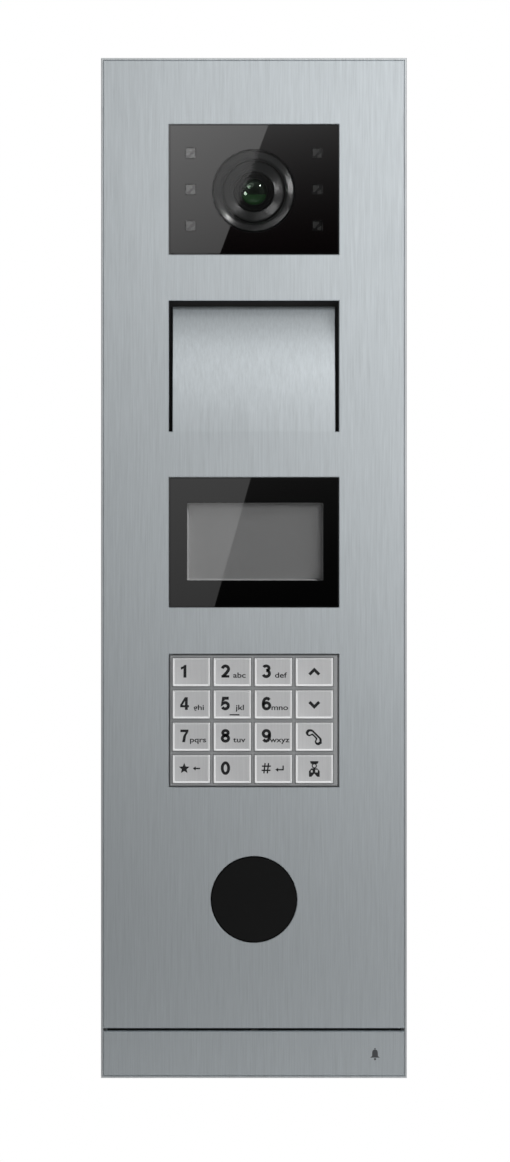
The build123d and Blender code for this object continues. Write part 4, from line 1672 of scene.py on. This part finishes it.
@dataclass
class Studio:
    """Floor, soft lights, reflection cards and camera."""

    distance: float = 6.0
    view_height: float = 0.4750
    aim_x: float = 0.00045
    aim_z: float = -0.00531
    front_y: float = -0.016
    sensor: float = 24.0
    floor_z: float = -0.27
    floor_radius: float = 0.55
    camera_pane: tuple[str, ...] = ("camera_border", "camera_clear", "lamp_clear")
    display_pane: tuple[str, ...] = ("display_border", "display_clear")
    camera_pieces: tuple[str, ...] = ("funnel_ring", "camera_ball_body", "front_lens")
    pane_front: float = -15.8 * MM
    pane_half: float = 34.0 * MM
    card_distance: float = 0.30
    card_width: float = 0.09
    card_spare: float = 0.04

    def build(self) -> None:
        """Set up the whole studio."""
        bpy.context.scene.view_settings.view_transform = "Standard"
        self.world()
        self.floor()
        self.lights()
        self.cards()
        self.camera()

    def camera(self) -> None:
        """Place a long lens square to the panel's front."""
        data = bpy.data.cameras.new("camera")
        data.sensor_fit = "VERTICAL"
        data.sensor_height = self.sensor
        data.lens = self.sensor * (self.distance + self.front_y) / self.view_height
        data.clip_end = 50.0
        piece = bpy.data.objects.new("camera", data)
        piece.location = (self.aim_x, -self.distance, self.aim_z)
        piece.rotation_euler = (math.pi / 2, 0.0, 0.0)
        bpy.context.scene.collection.objects.link(piece)
        bpy.context.scene.camera = piece

    def world(self) -> None:
        """Light the panel from a pale room that is brighter above and to the right."""
        world = bpy.data.worlds.new("studio")
        world.use_nodes = True
        graph = NodeGraph(world.node_tree)
        graph.nodes.clear()
        output = graph.add("ShaderNodeOutputWorld")
        towards = graph.add("ShaderNodeTexCoord").outputs["Generated"]
        height = Ramp("Z", -0.6, 0.8, 0.25, 0.70)
        side = Ramp("X", -1.0, 1.0, 0.8, 1.2)
        front = Ramp("Y", -0.97, -0.45, 0.03, 1.0)
        strength = graph.product(towards, (height, side, front))
        room = graph.add("ShaderNodeBackground", Color=(0.97, 0.99, 1.0), Strength=strength)
        plain = graph.add("ShaderNodeBackground", Color=(1.0, 1.0, 1.0))
        seen = graph.add("ShaderNodeLightPath").outputs["Is Camera Ray"]
        mix = graph.add("ShaderNodeMixShader", Fac=seen)
        graph.feed(mix.inputs[1], room.outputs[0])
        graph.feed(mix.inputs[2], plain.outputs[0])
        graph.feed(output.inputs["Surface"], mix.outputs[0])
        bpy.context.scene.world = world

    def floor(self) -> None:
        """Lay a pale round floor below the panel."""
        mesh = bmesh.new()
        bmesh.ops.create_circle(mesh, cap_ends=True, segments=96, radius=self.floor_radius)
        bmesh.ops.translate(mesh, verts=mesh.verts, vec=(0, 0, self.floor_z))
        piece = object_from("studio_floor", mesh)
        tree = ShaderTree("floor_paint")
        paint = tree.blend(tree.noise((6, 6, 6)), (0.84, 0.84, 0.84), (0.88, 0.88, 0.88))
        piece.data.materials.append(tree.surface(Base_Color=paint, Roughness=0.8))

    def lamp(self, name: str, size: Point2, place: Sequence[float], radiance: float) -> Piece:
        """Add an area lamp that looks at the panel's middle.

        Args:
            name: Name of the lamp.
            size: Width and height of its face.
            place: Where it stands.
            radiance: Brightness of its face.

        Returns:
            The lamp.
        """
        data = bpy.data.lights.new(name, "AREA")
        data.shape = "RECTANGLE"
        data.size, data.size_y = size
        data.energy = 4 * size[0] * size[1] * radiance
        piece = bpy.data.objects.new(name, data)
        piece.location = place
        piece.rotation_euler = (-Vector(place)).to_track_quat("-Z", "Y").to_euler()
        piece.visible_camera = False
        bpy.context.scene.collection.objects.link(piece)
        return piece

    @staticmethod
    def graded(lamp: Piece, *ramps: Ramp) -> None:
        """Make a lamp's face brighter or darker from place to place.

        Args:
            lamp: Lamp to change.
            ramps: Changes of brightness, which are multiplied.
        """
        lamp.data.use_nodes = True
        graph = NodeGraph(lamp.data.node_tree)
        emission = next(node for node in graph.nodes if node.type == "EMISSION")
        place = graph.add("ShaderNodeNewGeometry").outputs["Position"]
        graph.feed(emission.inputs["Strength"], graph.product(place, ramps))

    @staticmethod
    def link(lamp: Piece, reach: Reach, *pieces: str) -> None:
        """Limit the pieces that a lamp lights.

        Args:
            lamp: Lamp to limit.
            reach: Whether it lights only these pieces, or all but these.
            pieces: Names of the objects.
        """
        receivers = bpy.data.collections.new(lamp.name + "_receivers")
        for name in pieces:
            receivers.objects.link(bpy.data.objects[name])
        for member in receivers.collection_objects:
            member.light_linking.link_state = reach.value
        lamp.light_linking.receiver_collection = receivers

    def lights(self) -> None:
        """Add a broad graded lamp in front, a key lamp high on the right and weaker ones round about."""
        apart = (*self.camera_pane, *self.display_pane, *self.camera_pieces)
        apart += ("threaded_barrel", "display_frame")
        wash = self.lamp("wash_lamp", (1.0, 0.78), (0.0, -0.42, -0.07), 1.0)
        wash.rotation_euler = (math.pi / 2, 0.0, 0.0)
        self.graded(wash, Ramp("Z", -0.20, 0.30, 0.185, 0.90), Ramp("X", -0.28, 0.28, 0.05, 1.9))
        self.link(wash, Reach.ALL_BUT, *apart)
        key = self.lamp("key_lamp", (0.35, 0.35), (0.80, -0.9, 1.0), 4.0)
        self.link(key, Reach.ALL_BUT, *apart)
        self.camera_lamps()
        inner = self.lamp("inner_lamp", (0.1, 0.1), (0.24, -0.6, 0.24), 20.0)
        self.link(inner, Reach.ONLY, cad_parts["lcd_panel"].name)
        edge = self.lamp("edge_lamp", (0.2, 0.2), (0.6, -0.45, 0.6), 170.0)
        self.link(edge, Reach.ONLY, "display_frame")
        for side, name in ((-1, "rear_left_lamp"), (1, "rear_right_lamp")):
            self.lamp(name, (1.2, 1.2), (side * 1.3, 1.3, 0.7), 1.5)

    def camera_lamps(self) -> None:
        """Add the small lamps that only the camera's own pieces catch."""
        lens = Vector((0.0, 0.0, middle_of("camera_socket").z))
        lamps = (
            ("camera_left", (0.20, 0.18), (-0.46, -0.42, -0.07), 18.0),
            ("camera_right", (0.08, 0.08), (0.33, -0.43, 0.35), 60.0),
            ("camera_top", (0.14, 0.12), (-0.23, -0.42, 0.22), 8.0),
            ("camera_soft", (0.50, 0.30), (-0.25, -0.45, 0.38), 1.1),
        )
        for name, size, offset, radiance in lamps:
            lamp = self.lamp(name, size, lens + Vector(offset), radiance)
            lamp.rotation_euler = (-Vector(offset)).to_track_quat("-Z", "Y").to_euler()
            self.link(lamp, Reach.ONLY, *self.camera_pieces)

    def cards(self) -> None:
        """Add the lamps that only the two panes mirror, each with a slanted edge."""
        camera_edge = ((5.6 * MM, 180.3 * MM), (-13.7 * MM, 129.0 * MM))
        camera_side = ((36.0 * MM, 183.0 * MM), (36.0 * MM, 127.0 * MM))
        display_edge = ((-1.4 * MM, 36.3 * MM), (-16.2 * MM, -16.1 * MM))
        display_side = ((36.0 * MM, 39.0 * MM), (36.0 * MM, -18.0 * MM))
        cards = (
            ("camera_glare", self.camera_pane, camera_edge, (2.2, 1.15), 1, (1.08, 0.74)),
            ("camera_sheen", self.camera_pane, camera_side, (0.91, 0.20), 3, (1.3, 0.7)),
            ("display_glare", self.display_pane, display_edge, (0.92, 0.64), 1, (1.02, 0.96)),
            ("display_sheen", self.display_pane, display_side, (0.36, 0.07), 2, (1.2, 0.7)),
        )
        for name, pane, edge, fall, power, sides in cards:
            card = self.card(name, edge)
            upper, lower = self.mirrored(edge)
            falls = [Ramp("Z", lower.y, upper.y, fall[1], fall[0])] * power
            self.graded(card, *falls, Ramp("X", -self.pane_half, self.pane_half, *sides))
            self.link(card, Reach.ONLY, *pane)

    def mirrored(self, edge: tuple[Point2, Point2]) -> list[Vector]:
        """Find where a card's edge stands, so that the camera sees it mirrored along an edge on a pane.

        Args:
            edge: Upper and lower point of the edge on the pane.

        Returns:
            Upper and lower point of the card's edge, in X and Z.
        """
        gain = 1 + self.card_distance / (self.distance + self.pane_front)
        aim = Vector((self.aim_x, self.aim_z))
        return [aim + (Vector(point) - aim) * gain for point in edge]

    def card(self, name: str, edge: tuple[Point2, Point2]) -> Piece:
        """Add a lamp whose right edge is mirrored along a slanted line on a pane.

        Args:
            name: Name of the lamp.
            edge: Upper and lower point of that line.

        Returns:
            The lamp.
        """
        upper, lower = self.mirrored(edge)
        along = (upper - lower).normalized()
        middle = (upper + lower) / 2 + Vector((-along.y, along.x)) * self.card_width / 2
        size = (self.card_width, (upper - lower).length + self.card_spare)
        lamp = self.lamp(name, size, (middle.x, self.pane_front - self.card_distance, middle.y), 1.0)
        columns = ((along.y, 0.0, -along.x), (along.x, 0.0, along.y), (0.0, -1.0, 0.0))
        lamp.rotation_euler = Matrix(columns).transposed().to_euler()
        return lamp


def main() -> None:
    """Build every sub-assembly and the studio."""
    logging.basicConfig(level=logging.INFO, format="%(name)s: %(message)s")
    palette = Palette()
    for assembly in (FrontSheet, CameraModule, DisplayModule, Keypad, PlainModules):
        assembly(palette).build()
        LOG.info("finished %s", assembly.__name__)
    Studio().build()


if __name__ == "__main__":
    main()
